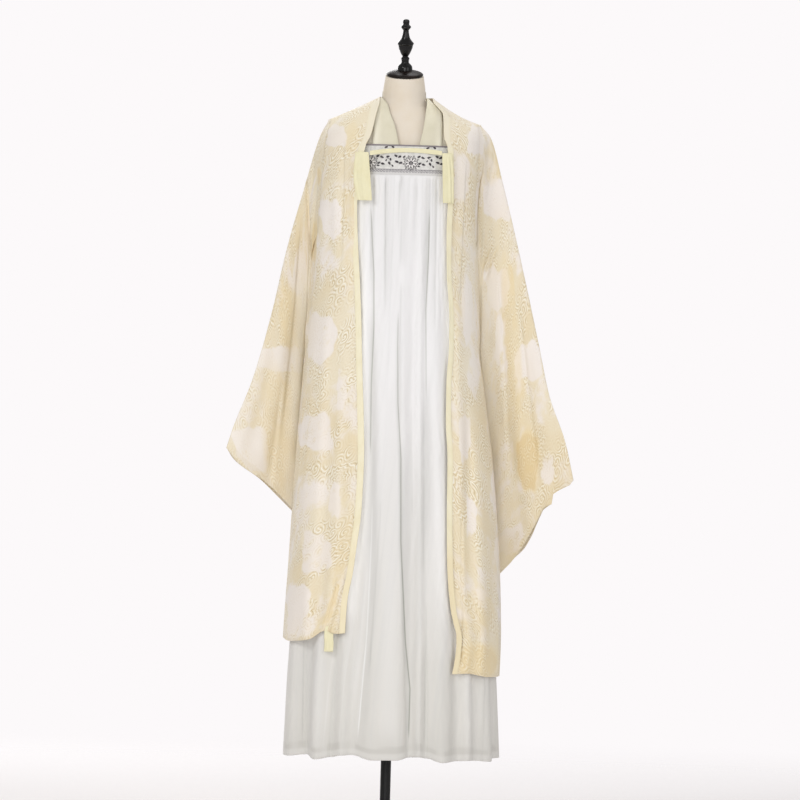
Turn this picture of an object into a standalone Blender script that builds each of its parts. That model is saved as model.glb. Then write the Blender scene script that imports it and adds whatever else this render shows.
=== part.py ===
"""Chest-high hanfu set on a limbless dress form.

An open large-sleeve robe of sheer cloth over a pleated chest-high skirt and a
collared inner top, worn by a limbless foam dress form on a pole and a round
base. Metres, +Z up, the front of the garment faces -Y, the origin is the
middle of the underside of the base. "left" is -X and "right" is +X, as seen
from the front. Every piece of cloth is a closed wall, made from a sheet of
points by moving a copy of it outward by the wall's thickness.
"""

import bpy
import math
from mathutils import Vector

for old in list(bpy.data.objects):
    bpy.data.objects.remove(old, do_unlink=True)

# ------------------------------------------------------------------ sizes
GAP = 0.0003          # between pieces that meet
CLOTH = 0.0012        # wall of one layer of cloth
LACE = 0.0014         # wall of the lace chest band
ROUND = 2.4           # squareness of the ovals of the worn cloth

BASE_R, BASE_EDGE, BASE_MID = 0.190, 0.0050, 0.0120
BOSS_R, BOSS_TOP = 0.022, 0.030
POLE_R, SOCKET_R = 0.0112, 0.0118
POLE_TOP = 0.8597
FORM_BOTTOM, FORM_SOCKET_TOP = 0.800, 0.860

NECK_TILT = math.radians(12.0)
NECK_TOP_Z, NECK_TOP_Y = 1.6073, -0.004
CAP_R, CAP_H = 0.0396, 0.0128

BAND_LOW, BAND_TOP = 1.392, 1.456     # lace chest band of the skirt
SKIRT_HEM = 0.140
RIBBON_H = 0.0095
FRONT_BAND_W = 0.020                  # front band of the robe

ARMPIT = 1.235                        # height of the robe's armhole bottom
ARM_SPLIT = 0.42                      # share of a robe row range above it
SHOULDER_H_NECK, SHOULDER_H_ARM = 0.055, 0.060
MOUTH = 0.040                         # width of the armhole, front to back

# the foam form: ovals from the underside up to the neck
FORM = (
    ("z", "half", "front", "back", "n"),
    (0.800, 0.1400, 0.0980, 0.1120, 2.3),
    (0.815, 0.1520, 0.1050, 0.1180, 2.3),
    (0.900, 0.1590, 0.1080, 0.1220, 2.3),
    (0.980, 0.1480, 0.1040, 0.1120, 2.3),
    (1.070, 0.1230, 0.0920, 0.0910, 2.3),
    (1.140, 0.1200, 0.0930, 0.0860, 2.3),
    (1.220, 0.1310, 0.1070, 0.0920, 2.3),
    (1.310, 0.1410, 0.1200, 0.0980, 2.3),
    (1.392, 0.1440, 0.1080, 0.0985, 2.3),
    (1.425, 0.1430, 0.1010, 0.0960, 2.3),
    (1.456, 0.1400, 0.0940, 0.0920, 2.2),
    (1.472, 0.1350, 0.0890, 0.0880, 2.1),
    (1.484, 0.1270, 0.0845, 0.0845, 2.0),
    (1.496, 0.1130, 0.0790, 0.0800, 2.0),
    (1.508, 0.0950, 0.0730, 0.0745, 2.0),
    (1.520, 0.0770, 0.0670, 0.0690, 2.0),
    (1.532, 0.0610, 0.0605, 0.0630, 2.0),
    (1.545, 0.0500, 0.0540, 0.0565, 2.0),
    (1.560, 0.0465, 0.0485, 0.0515, 2.0),
    (1.575, 0.0456, 0.0462, 0.0492, 2.0),
    (1.6070, 0.0412, 0.0412, 0.0412, 2.0),
)

# turned finial: height above the cap and radius, before it is stretched
FINIAL_STRETCH = 1.022
FINIAL = (
    ("h", "r"),
    (0.0003, 0.0164), (0.0046, 0.0160), (0.0090, 0.0150), (0.0128, 0.0116),
    (0.0158, 0.0087), (0.0187, 0.0081), (0.0222, 0.0084), (0.0255, 0.0091),
    (0.0284, 0.0070), (0.0299, 0.0062), (0.0322, 0.0077), (0.0361, 0.0100),
    (0.0419, 0.0127), (0.0477, 0.0149), (0.0540, 0.0162), (0.0569, 0.0178),
    (0.0590, 0.0168), (0.0641, 0.0124), (0.0699, 0.0089), (0.0786, 0.0069),
    (0.0853, 0.0062), (0.0882, 0.0081), (0.0922, 0.0108), (0.0950, 0.0094),
    (0.0975, 0.0068), (0.1017, 0.0071), (0.1060, 0.0070), (0.1084, 0.0046),
)

# the skirt's mean oval, from the top of the chest band to the hem
SKIRT = (
    ("z", "left", "right", "front", "back"),
    (1.456, 0.1575, 0.1575, 0.1052, 0.1015),
    (1.392, 0.1525, 0.1525, 0.1185, 0.1065),
    (1.310, 0.1535, 0.1535, 0.1295, 0.1085),
    (1.226, 0.1580, 0.1555, 0.1335, 0.1130),
    (1.100, 0.1660, 0.1605, 0.1385, 0.1220),
    (0.940, 0.1780, 0.1710, 0.1445, 0.1330),
    (0.800, 0.1885, 0.1860, 0.1495, 0.1420),
    (0.660, 0.1985, 0.2040, 0.1545, 0.1500),
    (0.520, 0.2060, 0.2150, 0.1595, 0.1570),
    (0.400, 0.2115, 0.2235, 0.1640, 0.1630),
    (0.300, 0.2160, 0.2310, 0.1680, 0.1680),
    (0.140, 0.2200, 0.2410, 0.1740, 0.1740),
)
# folds of the skirt: bearing from the middle of the front (degrees, + to the
# right), how far the cloth stands out or in at the hem, how far the hem drops
SKIRT_FRONT_FOLDS = (
    ("angle", "out", "drop"),
    (-90, 0.002, 0.000), (-66, 0.009, 0.002), (-51, -0.009, -0.003),
    (-38, 0.010, 0.006), (-29, -0.007, 0.000), (-22, 0.003, -0.004),
    (-16, -0.008, -0.006), (-5, 0.009, 0.004), (3, 0.008, 0.003),
    (9, -0.009, -0.004), (13, 0.002, -0.005), (17, -0.006, -0.003),
    (25, 0.010, 0.006), (37, -0.008, 0.002), (43, 0.003, 0.001),
    (50, -0.007, 0.001), (62, 0.008, 0.003), (75, -0.006, -0.003),
    (90, 0.003, -0.003),
)
SKIRT_BACK_FOLDS = (
    ("angle", "out", "drop"),
    (90, 0.003, -0.003), (103, -0.008, 0.000), (117, 0.009, 0.004),
    (130, -0.008, -0.001), (142, 0.009, 0.005), (155, -0.009, -0.003),
    (167, 0.008, 0.003), (181, -0.008, 0.000), (192, 0.009, 0.005),
    (206, -0.009, -0.002), (218, 0.008, 0.004), (232, -0.008, 0.000),
    (245, 0.009, 0.003), (257, -0.007, 0.000), (270, 0.002, 0.000),
)

# the robe's outer edge (armhole line, then side seam) as half widths
ROBE_SIDE = (
    ("z", "left", "right"),
    (1.509, 0.1600, 0.1640), (1.470, 0.1700, 0.1695), (1.406, 0.1755, 0.1665),
    (1.343, 0.1790, 0.1640), (1.226, 0.1848, 0.1660), (1.128, 0.1905, 0.1700),
    (1.018, 0.1980, 0.1765), (0.940, 0.2028, 0.1890), (0.843, 0.2090, 0.2030),
    (0.787, 0.2120, 0.2110), (0.660, 0.2175, 0.2245), (0.530, 0.2230, 0.2350),
    (0.450, 0.2270, 0.2390), (0.390, 0.2292, 0.2405), (0.310, 0.2300, 0.2390),
)
# the robe's front edges
ROBE_EDGE = (
    ("z", "left", "right"),
    (1.561, 0.0515, 0.0590), (1.540, 0.0540, 0.0735), (1.525, 0.0578, 0.0840),
    (1.473, 0.0698, 0.0885), (1.456, 0.0785, 0.0955), (1.388, 0.0895, 0.0985),
    (1.325, 0.0942, 0.0995), (1.282, 0.0926, 0.0986), (1.212, 0.0878, 0.1004),
    (1.169, 0.0843, 0.1024), (1.126, 0.0812, 0.1070), (1.083, 0.0786, 0.1100),
    (1.0185, 0.0757, 0.1107), (0.954, 0.0724, 0.1072), (0.868, 0.0676, 0.1080),
    (0.781, 0.0645, 0.1140), (0.672, 0.0669, 0.1154), (0.589, 0.0755, 0.1180),
    (0.534, 0.0819, 0.1210), (0.479, 0.0916, 0.1270), (0.440, 0.0937, 0.1340),
    (0.406, 0.0950, 0.1440), (0.372, 0.0950, 0.1430), (0.324, 0.0950, 0.1365),
)
ROBE_DEPTH = (
    ("z", "front", "back"),
    (1.561, 0.0720, 0.0700), (1.500, 0.0960, 0.0930), (1.456, 0.1135, 0.1090),
    (1.392, 0.1270, 0.1155), (1.310, 0.1390, 0.1195), (1.226, 0.1440, 0.1250),
    (1.100, 0.1505, 0.1350), (0.940, 0.1590, 0.1475), (0.800, 0.1660, 0.1575),
    (0.660, 0.1720, 0.1665), (0.520, 0.1785, 0.1745), (0.400, 0.1840, 0.1815),
    (0.300, 0.1880, 0.1870),
)
# hems of the robe: share of the way from the front edge to the side seam
ROBE_HEM = (
    ("share", "left", "right", "back_left", "back_right"),
    (0.00, 0.406, 0.324, 0.372, 0.364),
    (0.15, 0.404, 0.325, 0.370, 0.360),
    (0.32, 0.410, 0.326, 0.374, 0.356),
    (0.57, 0.3905, 0.322, 0.380, 0.346),
    (0.73, 0.3865, 0.319, 0.384, 0.334),
    (0.90, 0.3845, 0.3186, 0.387, 0.324),
    (1.00, 0.390, 0.3190, 0.390, 0.319),
)
# soft folds of the robe's fronts: share across, half width in shares, height
# of the ridge, and where down the front it starts and is full
ROBE_FOLDS = (
    ("side", "share", "width", "out", "start", "full"),
    (-1, 0.30, 0.16, 0.0040, 1.20, 0.80),
    (-1, 0.66, 0.14, 0.0050, 1.30, 0.90),
    (1, 0.28, 0.16, 0.0050, 1.25, 0.85),
    (1, 0.62, 0.15, 0.0045, 1.10, 0.70),
)
# shoulder ridge: neck point and arm point of each side
RIDGE = {-1: ((0.0515, 1.5610), (0.1600, 1.5090)),
         1: ((0.0615, 1.5608), (0.1640, 1.5060))}
RIDGE_SAG = {-1: 0.0012, 1: 0.0060}
NECKLINE_BACK = 0.072  # how far the robe's neckline reaches behind the neck

# sleeves: the fold along the arm line, from the shoulder to the cuff
SLEEVE_FOLD = {
    -1: (("x", "y", "z"),
         (0.1600, 0.000, 1.5090), (0.1787, 0.000, 1.4720),
         (0.2080, -0.002, 1.3646), (0.2390, -0.004, 1.2410),
         (0.2700, -0.006, 1.0927), (0.3098, -0.008, 0.9435),
         (0.3480, -0.010, 0.8409), (0.3620, -0.010, 0.7938)),
    1: (("x", "y", "z"),
        (0.1640, 0.000, 1.5060), (0.1890, 0.000, 1.4770),
        (0.2132, -0.002, 1.3965), (0.2499, -0.004, 1.2571),
        (0.3034, -0.006, 1.0370), (0.3311, -0.008, 0.9228),
        (0.3669, -0.010, 0.8276), (0.3870, -0.010, 0.7442)),
}
# the cuff, from its upper corner to its lower corner behind the body
SLEEVE_CUFF = {
    -1: (("x", "y", "z"),
         (0.3620, -0.010, 0.7938), (0.3436, 0.002, 0.7661),
         (0.2793, 0.046, 0.7199), (0.2513, 0.068, 0.6934),
         (0.2175, 0.098, 0.6599), (0.1450, 0.163, 0.5880)),
    1: (("x", "y", "z"),
        (0.3870, -0.010, 0.7442), (0.3446, 0.020, 0.6950),
        (0.3114, 0.044, 0.6439), (0.2750, 0.071, 0.5742),
        (0.2351, 0.105, 0.5306), (0.1600, 0.172, 0.4500)),
}
SLEEVE_SEAM = 0.0020   # from the armhole's lips to the sleeve's edge
SLEEVE_CLEAR = 0.0055  # middle of the sleeve to the robe's back where it wraps
SLEEVE_NARROW = 0.018  # fullness just below the shoulder
SLEEVE_FULL = 0.034    # fullness of the sleeve, layer to layer, half-way down
SLEEVE_CUFF_FULL = 0.022

# inner top
INNER_SIDE = (
    ("z", "half"),
    (1.500, 0.1300), (1.456, 0.1440), (1.392, 0.1480), (1.310, 0.1460),
    (1.250, 0.1400), (1.200, 0.1330),
)
INNER_DEPTH = (
    ("z", "front", "back"),
    (1.556, 0.0600, 0.0600), (1.500, 0.0850, 0.0860), (1.456, 0.0985, 0.0965),
    (1.392, 0.1115, 0.1020), (1.310, 0.1235, 0.1015), (1.250, 0.1175, 0.0985),
    (1.200, 0.1070, 0.0930),
)
INNER_LOW = 1.215
INNER_RIDGE = ((0.0510, 1.5560), (0.1240, 1.5140))
# the inner collar's two long edges on each side of the opening
COLLAR = (
    ("z", "in_left", "out_left", "in_right", "out_right"),
    (1.5600, 0.0486, 0.0500, 0.0490, 0.0504),
    (1.5470, 0.0360, 0.0530, 0.0490, 0.0640),
    (1.5240, 0.0290, 0.0590, 0.0470, 0.0820),
    (1.4960, 0.0180, 0.0634, 0.0438, 0.0840),
    (1.4690, 0.0112, 0.0645, 0.0382, 0.0840),
    (1.4200, 0.0020, 0.0600, 0.0300, 0.0800),
    (1.3900, 0.0015, 0.0580, 0.0250, 0.0770),
)

CREAM = (0.79, 0.70, 0.48)
YELLOW = (0.86, 0.80, 0.52)
WHITE = (0.83, 0.83, 0.82)
GREEN_YELLOW = (0.78, 0.77, 0.58)
BEIGE = (0.80, 0.71, 0.62)
GREY = (0.55, 0.55, 0.55)
BLACK = (0.012, 0.011, 0.010)
BROWN = (0.030, 0.020, 0.016)


# ---------------------------------------------------------------- helpers
def column(table, name):
    """All values of one named column of a table."""
    at = table[0].index(name)
    return [row[at] for row in table[1:]]


def read(table, name, key):
    """A column's value at key in the first column, smooth between rows."""
    keys, values = column(table, table[0][0]), column(table, name)
    if keys[0] > keys[-1]:
        keys, values = keys[::-1], values[::-1]
    if key <= keys[0]:
        return values[0]
    if key >= keys[-1]:
        return values[-1]
    i = max(k for k in range(len(keys) - 1) if keys[k] <= key)

    def slope(k):
        if k in (0, len(keys) - 1):
            return 0.0 if len(keys) > 2 else (values[1] - values[0]) / (keys[1] - keys[0])
        a = (values[k] - values[k - 1]) / (keys[k] - keys[k - 1])
        b = (values[k + 1] - values[k]) / (keys[k + 1] - keys[k])
        return 0.0 if a * b <= 0 else 2 * a * b / (a + b)

    h = keys[i + 1] - keys[i]
    t = (key - keys[i]) / h
    a, b = slope(i), slope(i + 1)
    if i == 0:
        a = (values[1] - values[0]) / h
    if i == len(keys) - 2:
        b = (values[-1] - values[-2]) / h
    return (values[i] * (2 * t ** 3 - 3 * t * t + 1) + a * h * (t ** 3 - 2 * t * t + t)
            + values[i + 1] * (3 * t * t - 2 * t ** 3) + b * h * (t ** 3 - t * t))


def along(table, t):
    """The point at share t of the length of a smooth curve through a table."""
    points = [Vector(row) for row in table[1:]]
    lengths = [0.0]
    for a, b in zip(points, points[1:]):
        lengths.append(lengths[-1] + (b - a).length)
    share = [s / lengths[-1] for s in lengths]
    out = []
    for axis in range(3):
        rows = (("s", "v"),) + tuple((s, p[axis]) for s, p in zip(share, points))
        out.append(read(rows, "v", t))
    return Vector(out)


def mix(a, b, t):
    return a + (b - a) * t


def step(t):
    t = min(max(t, 0.0), 1.0)
    return t * t * (3 - 2 * t)


def rise(t):
    """Quarter of a circle: 0 at 0, 1 from 1 on, steep at first."""
    t = min(max(t, 0.0), 1.0)
    return math.sqrt(1 - (1 - t) ** 2)


def oval(x, half, depth, n=ROUND):
    """Depth of an oval at distance x from its middle, 0 beyond its ends."""
    q = min(abs(x) / half, 1.0)
    return depth * (1 - q ** n) ** (1 / n)


def form_depth(x, z, way):
    """How far the form reaches at x and z, way "front" or "back"."""
    if z > FORM[-1][0] or z < FORM[1][0]:
        return 0.0
    return oval(x, read(FORM, "half", z), read(FORM, way, z), read(FORM, "n", z))


def material(name, colour, rough, metal=0.0):
    m = bpy.data.materials.new(name)
    m.use_nodes = True
    shader = m.node_tree.nodes["Principled BSDF"]
    shader.inputs["Base Color"].default_value = (*colour, 1.0)
    shader.inputs["Roughness"].default_value = rough
    shader.inputs["Metallic"].default_value = metal
    m.diffuse_color = (*colour, 1.0)
    return m


def add_object(name, points, faces, look, smooth=True):
    mesh = bpy.data.meshes.new(name)
    mesh.from_pydata([tuple(p) for p in points], [], faces)
    mesh.validate()
    mesh.update()
    if smooth:
        mesh.shade_smooth()
        mesh.set_sharp_from_angle(angle=math.radians(50))
    thing = bpy.data.objects.new(name, mesh)
    mesh.materials.append(look)
    bpy.context.scene.collection.objects.link(thing)
    return thing


class Sheet:
    """A surface of four-sided faces; equal points are shared."""

    def __init__(self):
        self.points, self.faces, self.known = [], [], {}

    def point(self, p):
        key = (round(p[0], 6), round(p[1], 6), round(p[2], 6))
        if key not in self.known:
            self.known[key] = len(self.points)
            self.points.append(Vector(p))
        return self.known[key]

    def grid(self, rows, flip=False, loop=False):
        """Faces between rows of points; loop joins each row's two ends."""
        ids = [[self.point(p) for p in row] for row in rows]
        width = len(ids[0]) if loop else len(ids[0]) - 1
        for a, b in zip(ids, ids[1:]):
            for c in range(width):
                d = (c + 1) % len(a)
                face = [a[c], a[d], b[d], b[c]]
                face = [v for i, v in enumerate(face) if v != face[i - 1]]
                if len(face) > 2:
                    self.faces.append(face[::-1] if flip else face)

    def normals(self):
        total = [Vector((0, 0, 0)) for _ in self.points]
        for face in self.faces:
            n = Vector((0, 0, 0))
            for i in range(len(face)):
                n += self.points[face[i]].cross(self.points[face[(i + 1) % len(face)]])
            if n.length:
                n.normalize()
            for v in face:
                total[v] += n
        return [n.normalized() if n.length else Vector((0, 0, 1)) for n in total]

    def wall(self, name, thick, look, lift=0.0):
        """The sheet as a closed wall: from lift to lift + thick outward."""
        out = self.normals()
        count = len(self.points)
        cut = []
        for f in self.faces:      # both faces of the wall get the same diagonals
            if len(f) == 4:
                a, b, c, d = (self.points[v] for v in f)
                if (a - c).length <= (b - d).length:
                    cut += [[f[0], f[1], f[2]], [f[0], f[2], f[3]]]
                else:
                    cut += [[f[0], f[1], f[3]], [f[1], f[2], f[3]]]
            else:
                cut.append(f)
        self.faces = cut
        points = [p + n * lift for p, n in zip(self.points, out)]
        points += [p + n * (lift + thick) for p, n in zip(self.points, out)]
        faces = [[v + count for v in f] for f in self.faces]
        faces += [f[::-1] for f in self.faces]
        used = {}
        for f in self.faces:
            for i in range(len(f)):
                used[(f[i], f[(i + 1) % len(f)])] = True
        for a, b in used:
            if (b, a) not in used:
                faces.append([a, b, b + count, a + count])
        return add_object(name, points, faces, look)


def lathe(name, profile, look, segments=32, centre=(0, 0, 0)):
    """A turned solid; the profile's rows are (radius, height) round the cut."""
    points, faces, rings = [], [], []
    for radius, height in profile:
        if radius < 1e-6:
            rings.append([len(points)])
            points.append(Vector((0, 0, height)))
        else:
            rings.append(list(range(len(points), len(points) + segments)))
            for k in range(segments):
                a = 2 * math.pi * k / segments
                points.append(Vector((radius * math.cos(a), radius * math.sin(a), height)))
    pairs = list(zip(rings, rings[1:]))
    for a, b in pairs:
        for k in range(segments):
            j = (k + 1) % segments
            if len(a) == 1 and len(b) == 1:
                continue
            if len(a) == 1:
                faces.append([a[0], b[j], b[k]])
            elif len(b) == 1:
                faces.append([a[k], a[j], b[0]])
            else:
                faces.append([a[k], a[j], b[j], b[k]])
    thing = add_object(name, points, faces, look)
    thing.location = centre
    return thing


# -------------------------------------------------------------- materials
robe_look = material("robe_sheer", CREAM, 0.55)
band_look = material("robe_band", YELLOW, 0.50)
skirt_look = material("skirt_chiffon", WHITE, 0.70)
lace_look = material("lace_band", GREY, 0.75)
ribbon_look = material("ribbon", YELLOW, 0.45)
inner_look = material("inner_top", WHITE, 0.65)
collar_look = material("inner_collar", GREEN_YELLOW, 0.60)
form_look = material("form_cover", BEIGE, 0.60)
gloss_look = material("black_gloss", BLACK, 0.18)
cap_look = material("cap_brown", BROWN, 0.30)
steel_look = material("black_steel", BLACK, 0.40)


# ------------------------------------------------------------------ stand
lathe("stand_base", (
    (0.0, 0.0), (BASE_R, 0.0), (BASE_R, BASE_EDGE), (BASE_R - 0.004, BASE_EDGE + 0.0035),
    (BOSS_R + 0.004, BASE_MID), (BOSS_R, BASE_MID + 0.004), (BOSS_R, BOSS_TOP - 0.002),
    (BOSS_R - 0.002, BOSS_TOP), (SOCKET_R, BOSS_TOP), (SOCKET_R, 0.006), (0.0, 0.006),
), steel_look, segments=40)
lathe("stand_pole", (
    (0.0, 0.006 + GAP), (POLE_R, 0.006 + GAP), (POLE_R, POLE_TOP), (0.0, POLE_TOP),
), steel_look, segments=24)


def form_ring(row, segments):
    """One oval of the form; the last rows lean to the tilt of the neck."""
    z, half, front, back, n = row
    lean = step((z - 1.560) / (FORM[-1][0] - 1.560))
    ring = []
    for k in range(segments):
        a = 2 * math.pi * k / segments
        s, c = math.sin(a), math.cos(a)
        x = half * math.copysign(abs(s) ** (2 / n), s)
        y = (-front if c > 0 else back) * abs(c) ** (2 / n)
        y += NECK_TOP_Y * lean
        ring.append(Vector((x, y, z + lean * math.tan(NECK_TILT) * (y - NECK_TOP_Y))))
    return ring


def make_form(segments=28):
    """Foam torso with the pole's socket in its underside."""
    rings = []
    bore = [Vector((SOCKET_R * math.sin(2 * math.pi * k / segments),
                    -SOCKET_R * math.cos(2 * math.pi * k / segments), 0))
            for k in range(segments)]
    rings.append([p + Vector((0, 0, FORM_SOCKET_TOP)) for p in bore])
    rings.append([p + Vector((0, 0, FORM_BOTTOM)) for p in bore])
    rings += [form_ring(row, segments) for row in FORM[1:]]
    points, faces = [], []
    for ring in rings:
        points += ring
    for r in range(len(rings) - 1):
        for k in range(segments):
            j = (k + 1) % segments
            faces.append([r * segments + k, r * segments + j,
                          (r + 1) * segments + j, (r + 1) * segments + k])
    low, high = len(points), len(points) + 1
    points += [Vector((0, 0, FORM_SOCKET_TOP)), Vector((0, NECK_TOP_Y, FORM[-1][0]))]
    last = (len(rings) - 1) * segments
    for k in range(segments):
        j = (k + 1) % segments
        faces.append([low, j, k])
        faces.append([high, last + k, last + j])
    add_object("form_torso", points, faces, form_look)


make_form()

# cap and finial stand square on the tilted neck
neck = bpy.data.objects.new("neck_axis", None)
bpy.context.scene.collection.objects.link(neck)
neck.location = (0, NECK_TOP_Y, NECK_TOP_Z)
neck.rotation_euler = (NECK_TILT, 0, 0)
cap = lathe("form_neck_cap", (
    (0.0, GAP), (CAP_R - 0.003, GAP), (CAP_R, 0.0024), (CAP_R, 0.0044),
    (CAP_R - 0.0030, 0.0072), (0.0300, 0.0098), (0.0215, 0.0117), (0.0180, CAP_H), (0.0, CAP_H),
), cap_look, segments=32)
cap.parent = neck
finial = lathe("form_finial", ((0.0, FINIAL[1][0]),) + tuple(
    (r, h * FINIAL_STRETCH if k else h) for k, (h, r) in enumerate(FINIAL[1:])
) + ((0.0, FINIAL[-1][0] * FINIAL_STRETCH + 0.0006),),
    gloss_look, segments=20, centre=(0, 0, CAP_H))
finial.parent = neck


# ------------------------------------------------------------------ skirt
SKIRT_N = ROUND


def skirt_base(angle, z, grow=0.0):
    """A point of the skirt's mean oval and its outward direction in plan."""
    def at(a):
        s, c = math.sin(a), math.cos(a)
        half = read(SKIRT, "right" if s > 0 else "left", z) + grow
        depth = read(SKIRT, "front" if c > 0 else "back", z) + grow
        return Vector((half * math.copysign(abs(s) ** (2 / SKIRT_N), s),
                       -depth * math.copysign(abs(c) ** (2 / SKIRT_N), c), z))
    d = 0.01
    run = at(angle + d) - at(angle - d)
    return at(angle), Vector((run.y, -run.x, 0)).normalized()


def fold_at(table, name, degrees):
    """Height of the folds between the rows of a table, as soft waves."""
    angles, values = column(table, "angle"), column(table, name)
    for a, b, va, vb in zip(angles, angles[1:], values, values[1:]):
        if a <= degrees <= b:
            return mix(va, vb, step((degrees - a) / (b - a)))
    return values[0] if degrees < angles[0] else values[-1]


def skirt_point(table, degrees, down):
    """down runs from 0 under the chest band to 1 at the hem."""
    hem = SKIRT_HEM - fold_at(table, "drop", degrees)
    z = mix(BAND_LOW - GAP, hem, down)
    p, out = skirt_base(math.radians(degrees), z)
    return p + out * (fold_at(table, "out", degrees) * down ** 0.7)


def fold_columns(table, trim):
    """Bearings of the sheet's columns: each fold, and points between."""
    angles = column(table, "angle")
    bearings = []
    for a, b in zip(angles, angles[1:]):
        parts = 2
        bearings += [mix(a, b, k / parts) for k in range(parts)]
    bearings.append(angles[-1])
    bearings[0] += trim
    bearings[-1] -= trim
    return bearings


SEAM = 0.10    # degrees cut off each edge at the side seams
SKIRT_ROWS = (0.0, 0.06, 0.15, 0.28, 0.42, 0.57, 0.72, 0.87, 1.0)
for name, table in (("skirt_front", SKIRT_FRONT_FOLDS), ("skirt_back", SKIRT_BACK_FOLDS)):
    sheet = Sheet()
    sheet.grid([[skirt_point(table, d, v) for d in fold_columns(table, SEAM)]
                for v in SKIRT_ROWS], flip=True)
    sheet.wall(name, CLOTH, skirt_look)

# lace chest band, a front and a back piece
for name, start in (("skirt_band_front", -90), ("skirt_band_back", 90)):
    sheet = Sheet()
    spread = [start + SEAM + (180 - 2 * SEAM) * k / 24 for k in range(25)]
    sheet.grid([[skirt_base(math.radians(d), z)[0] for d in spread]
                for z in (BAND_LOW, BAND_TOP)])
    sheet.wall(name, LACE, lace_look)


# -------------------------------------------------------------- inner top
def inner_point(side, share, down, way):
    """share 0 at the opening or the back's middle, 1 at the outer edge."""
    (nx, nz), (ax, az) = INNER_RIDGE
    edge = read(COLLAR, "out_left" if side < 0 else "out_right", 1.5) - 0.006
    low = INNER_LOW
    arm = 1.385
    split = 0.5

    def height(start):
        if down <= split:
            return mix(start, arm, down / split)
        return mix(arm, low, (down - split) / (1 - split))
    z_outer = height(az)
    outer = read(INNER_SIDE, "half", z_outer)
    if way == "front":
        start_x, start_z = mix(nx, ax, share), mix(nz, az, share)
        z = height(start_z)
        x = mix(mix(nx, edge, step(down / 0.25)), mix(ax, outer, step(down / 0.3)), share)
        start_y = 0.0
    else:
        start_x = mix(GAP / 2, ax, share)
        if start_x < nx:
            start_y = 0.060 * math.sqrt(max(0, 1 - (start_x / nx) ** 2))
            start_z = nz
        else:
            start_y, start_z = 0.0, mix(nz, az, (start_x - nx) / (ax - nx))
        z = height(start_z)
        x = mix(GAP / 2, mix(ax, outer, step(down / 0.3)), share)
    grown = rise((start_z - z) / 0.065)
    half = read(INNER_SIDE, "half", z) + 0.0015
    depth = read(INNER_DEPTH, way, z)
    open_y = 0.008 * math.sin(math.pi * min(down / split, 1.0)) if down < split else 0.0
    y = open_y + (depth - open_y) * oval(x, half, 1.0) if x < outer - 1e-5 else open_y
    y = mix(start_y, y, grown)
    y = max(y, form_depth(x, z, way) + 0.0035)
    if share > 0.999:
        y = max(open_y, form_depth(x, z, way) + 0.0025) if down < split else 0.0
    return Vector((side * x, -y if way == "front" else y, z))


INNER_ROWS = (0.0, 0.03, 0.10, 0.2, 0.34, 0.5, 0.75, 1.0)


def make_inner(side):
    """Half of the inner top, cut in one piece over the shoulder."""
    shares = (0.0, 0.25, 0.5, 0.75, 0.92, 1.0)
    (nx, _), (ax, _) = INNER_RIDGE
    backs = [nx / ax * math.sin(math.radians(b)) for b in (0, 30, 60)]
    backs += [mix(nx, ax, s) / ax for s in shares]
    sheet = Sheet()
    sheet.grid([[inner_point(side, s, v, "front") for s in shares]
                for v in INNER_ROWS], flip=side > 0)
    sheet.grid([[inner_point(side, s, v, "back") for s in backs]
                for v in INNER_ROWS], flip=side < 0)
    sheet.wall("inner_body_left" if side < 0 else "inner_body_right", CLOTH, inner_look)


make_inner(-1)
make_inner(1)


def collar_point(side, share, z):
    """On the collar of the inner top: share 0 at its inner long edge."""
    tag = "left" if side < 0 else "right"
    x = mix(read(COLLAR, "in_" + tag, z), read(COLLAR, "out_" + tag, z), share)
    grown = rise((COLLAR[1][0] - z) / 0.075)
    half = read(INNER_SIDE, "half", min(z, 1.5)) + 0.0015
    y = max(oval(x, half, read(INNER_DEPTH, "front", z)) * grown,
            form_depth(x, z, "front") + 0.0035)
    return Vector((side * x, -y - 0.0036, z))


for side, name in ((-1, "inner_collar_left"), (1, "inner_collar_right")):
    sheet = Sheet()
    sheet.grid([[collar_point(side, s, z) for s in (0, 0.25, 0.5, 0.75, 1)]
                for z in (1.5600, 1.5540, 1.5470, 1.5350, 1.5200, 1.4960, 1.4690,
                          1.4300, 1.3950)], flip=side > 0)
    sheet.wall(name, CLOTH, collar_look)
# the collar's stretch behind the neck
sheet = Sheet()
rows = []
for z, grow in ((1.5745, 0.0), (1.5600, 0.0006)):
    row = []
    for k in range(15):
        a = math.radians(-70 + 140 * k / 14)
        row.append(Vector(((0.0488 + grow) * math.sin(a), 0.001 + (0.0575 + grow) * math.cos(a), z)))
    rows.append(row)
sheet.grid(rows)
sheet.wall("inner_collar_neck", CLOTH, collar_look)


# ------------------------------------------------------------- outer robe
def tag_of(side):
    return "left" if side < 0 else "right"


def sleeve_full(u):
    """Fullness of the sleeve, front layer to back layer."""
    if u < 0.12:
        return mix(MOUTH, SLEEVE_NARROW, step(u / 0.12))
    return mix(mix(SLEEVE_NARROW, SLEEVE_FULL, step((u - 0.12) / 0.45)),
               SLEEVE_CUFF_FULL, step((u - 0.5) / 0.5))


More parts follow.
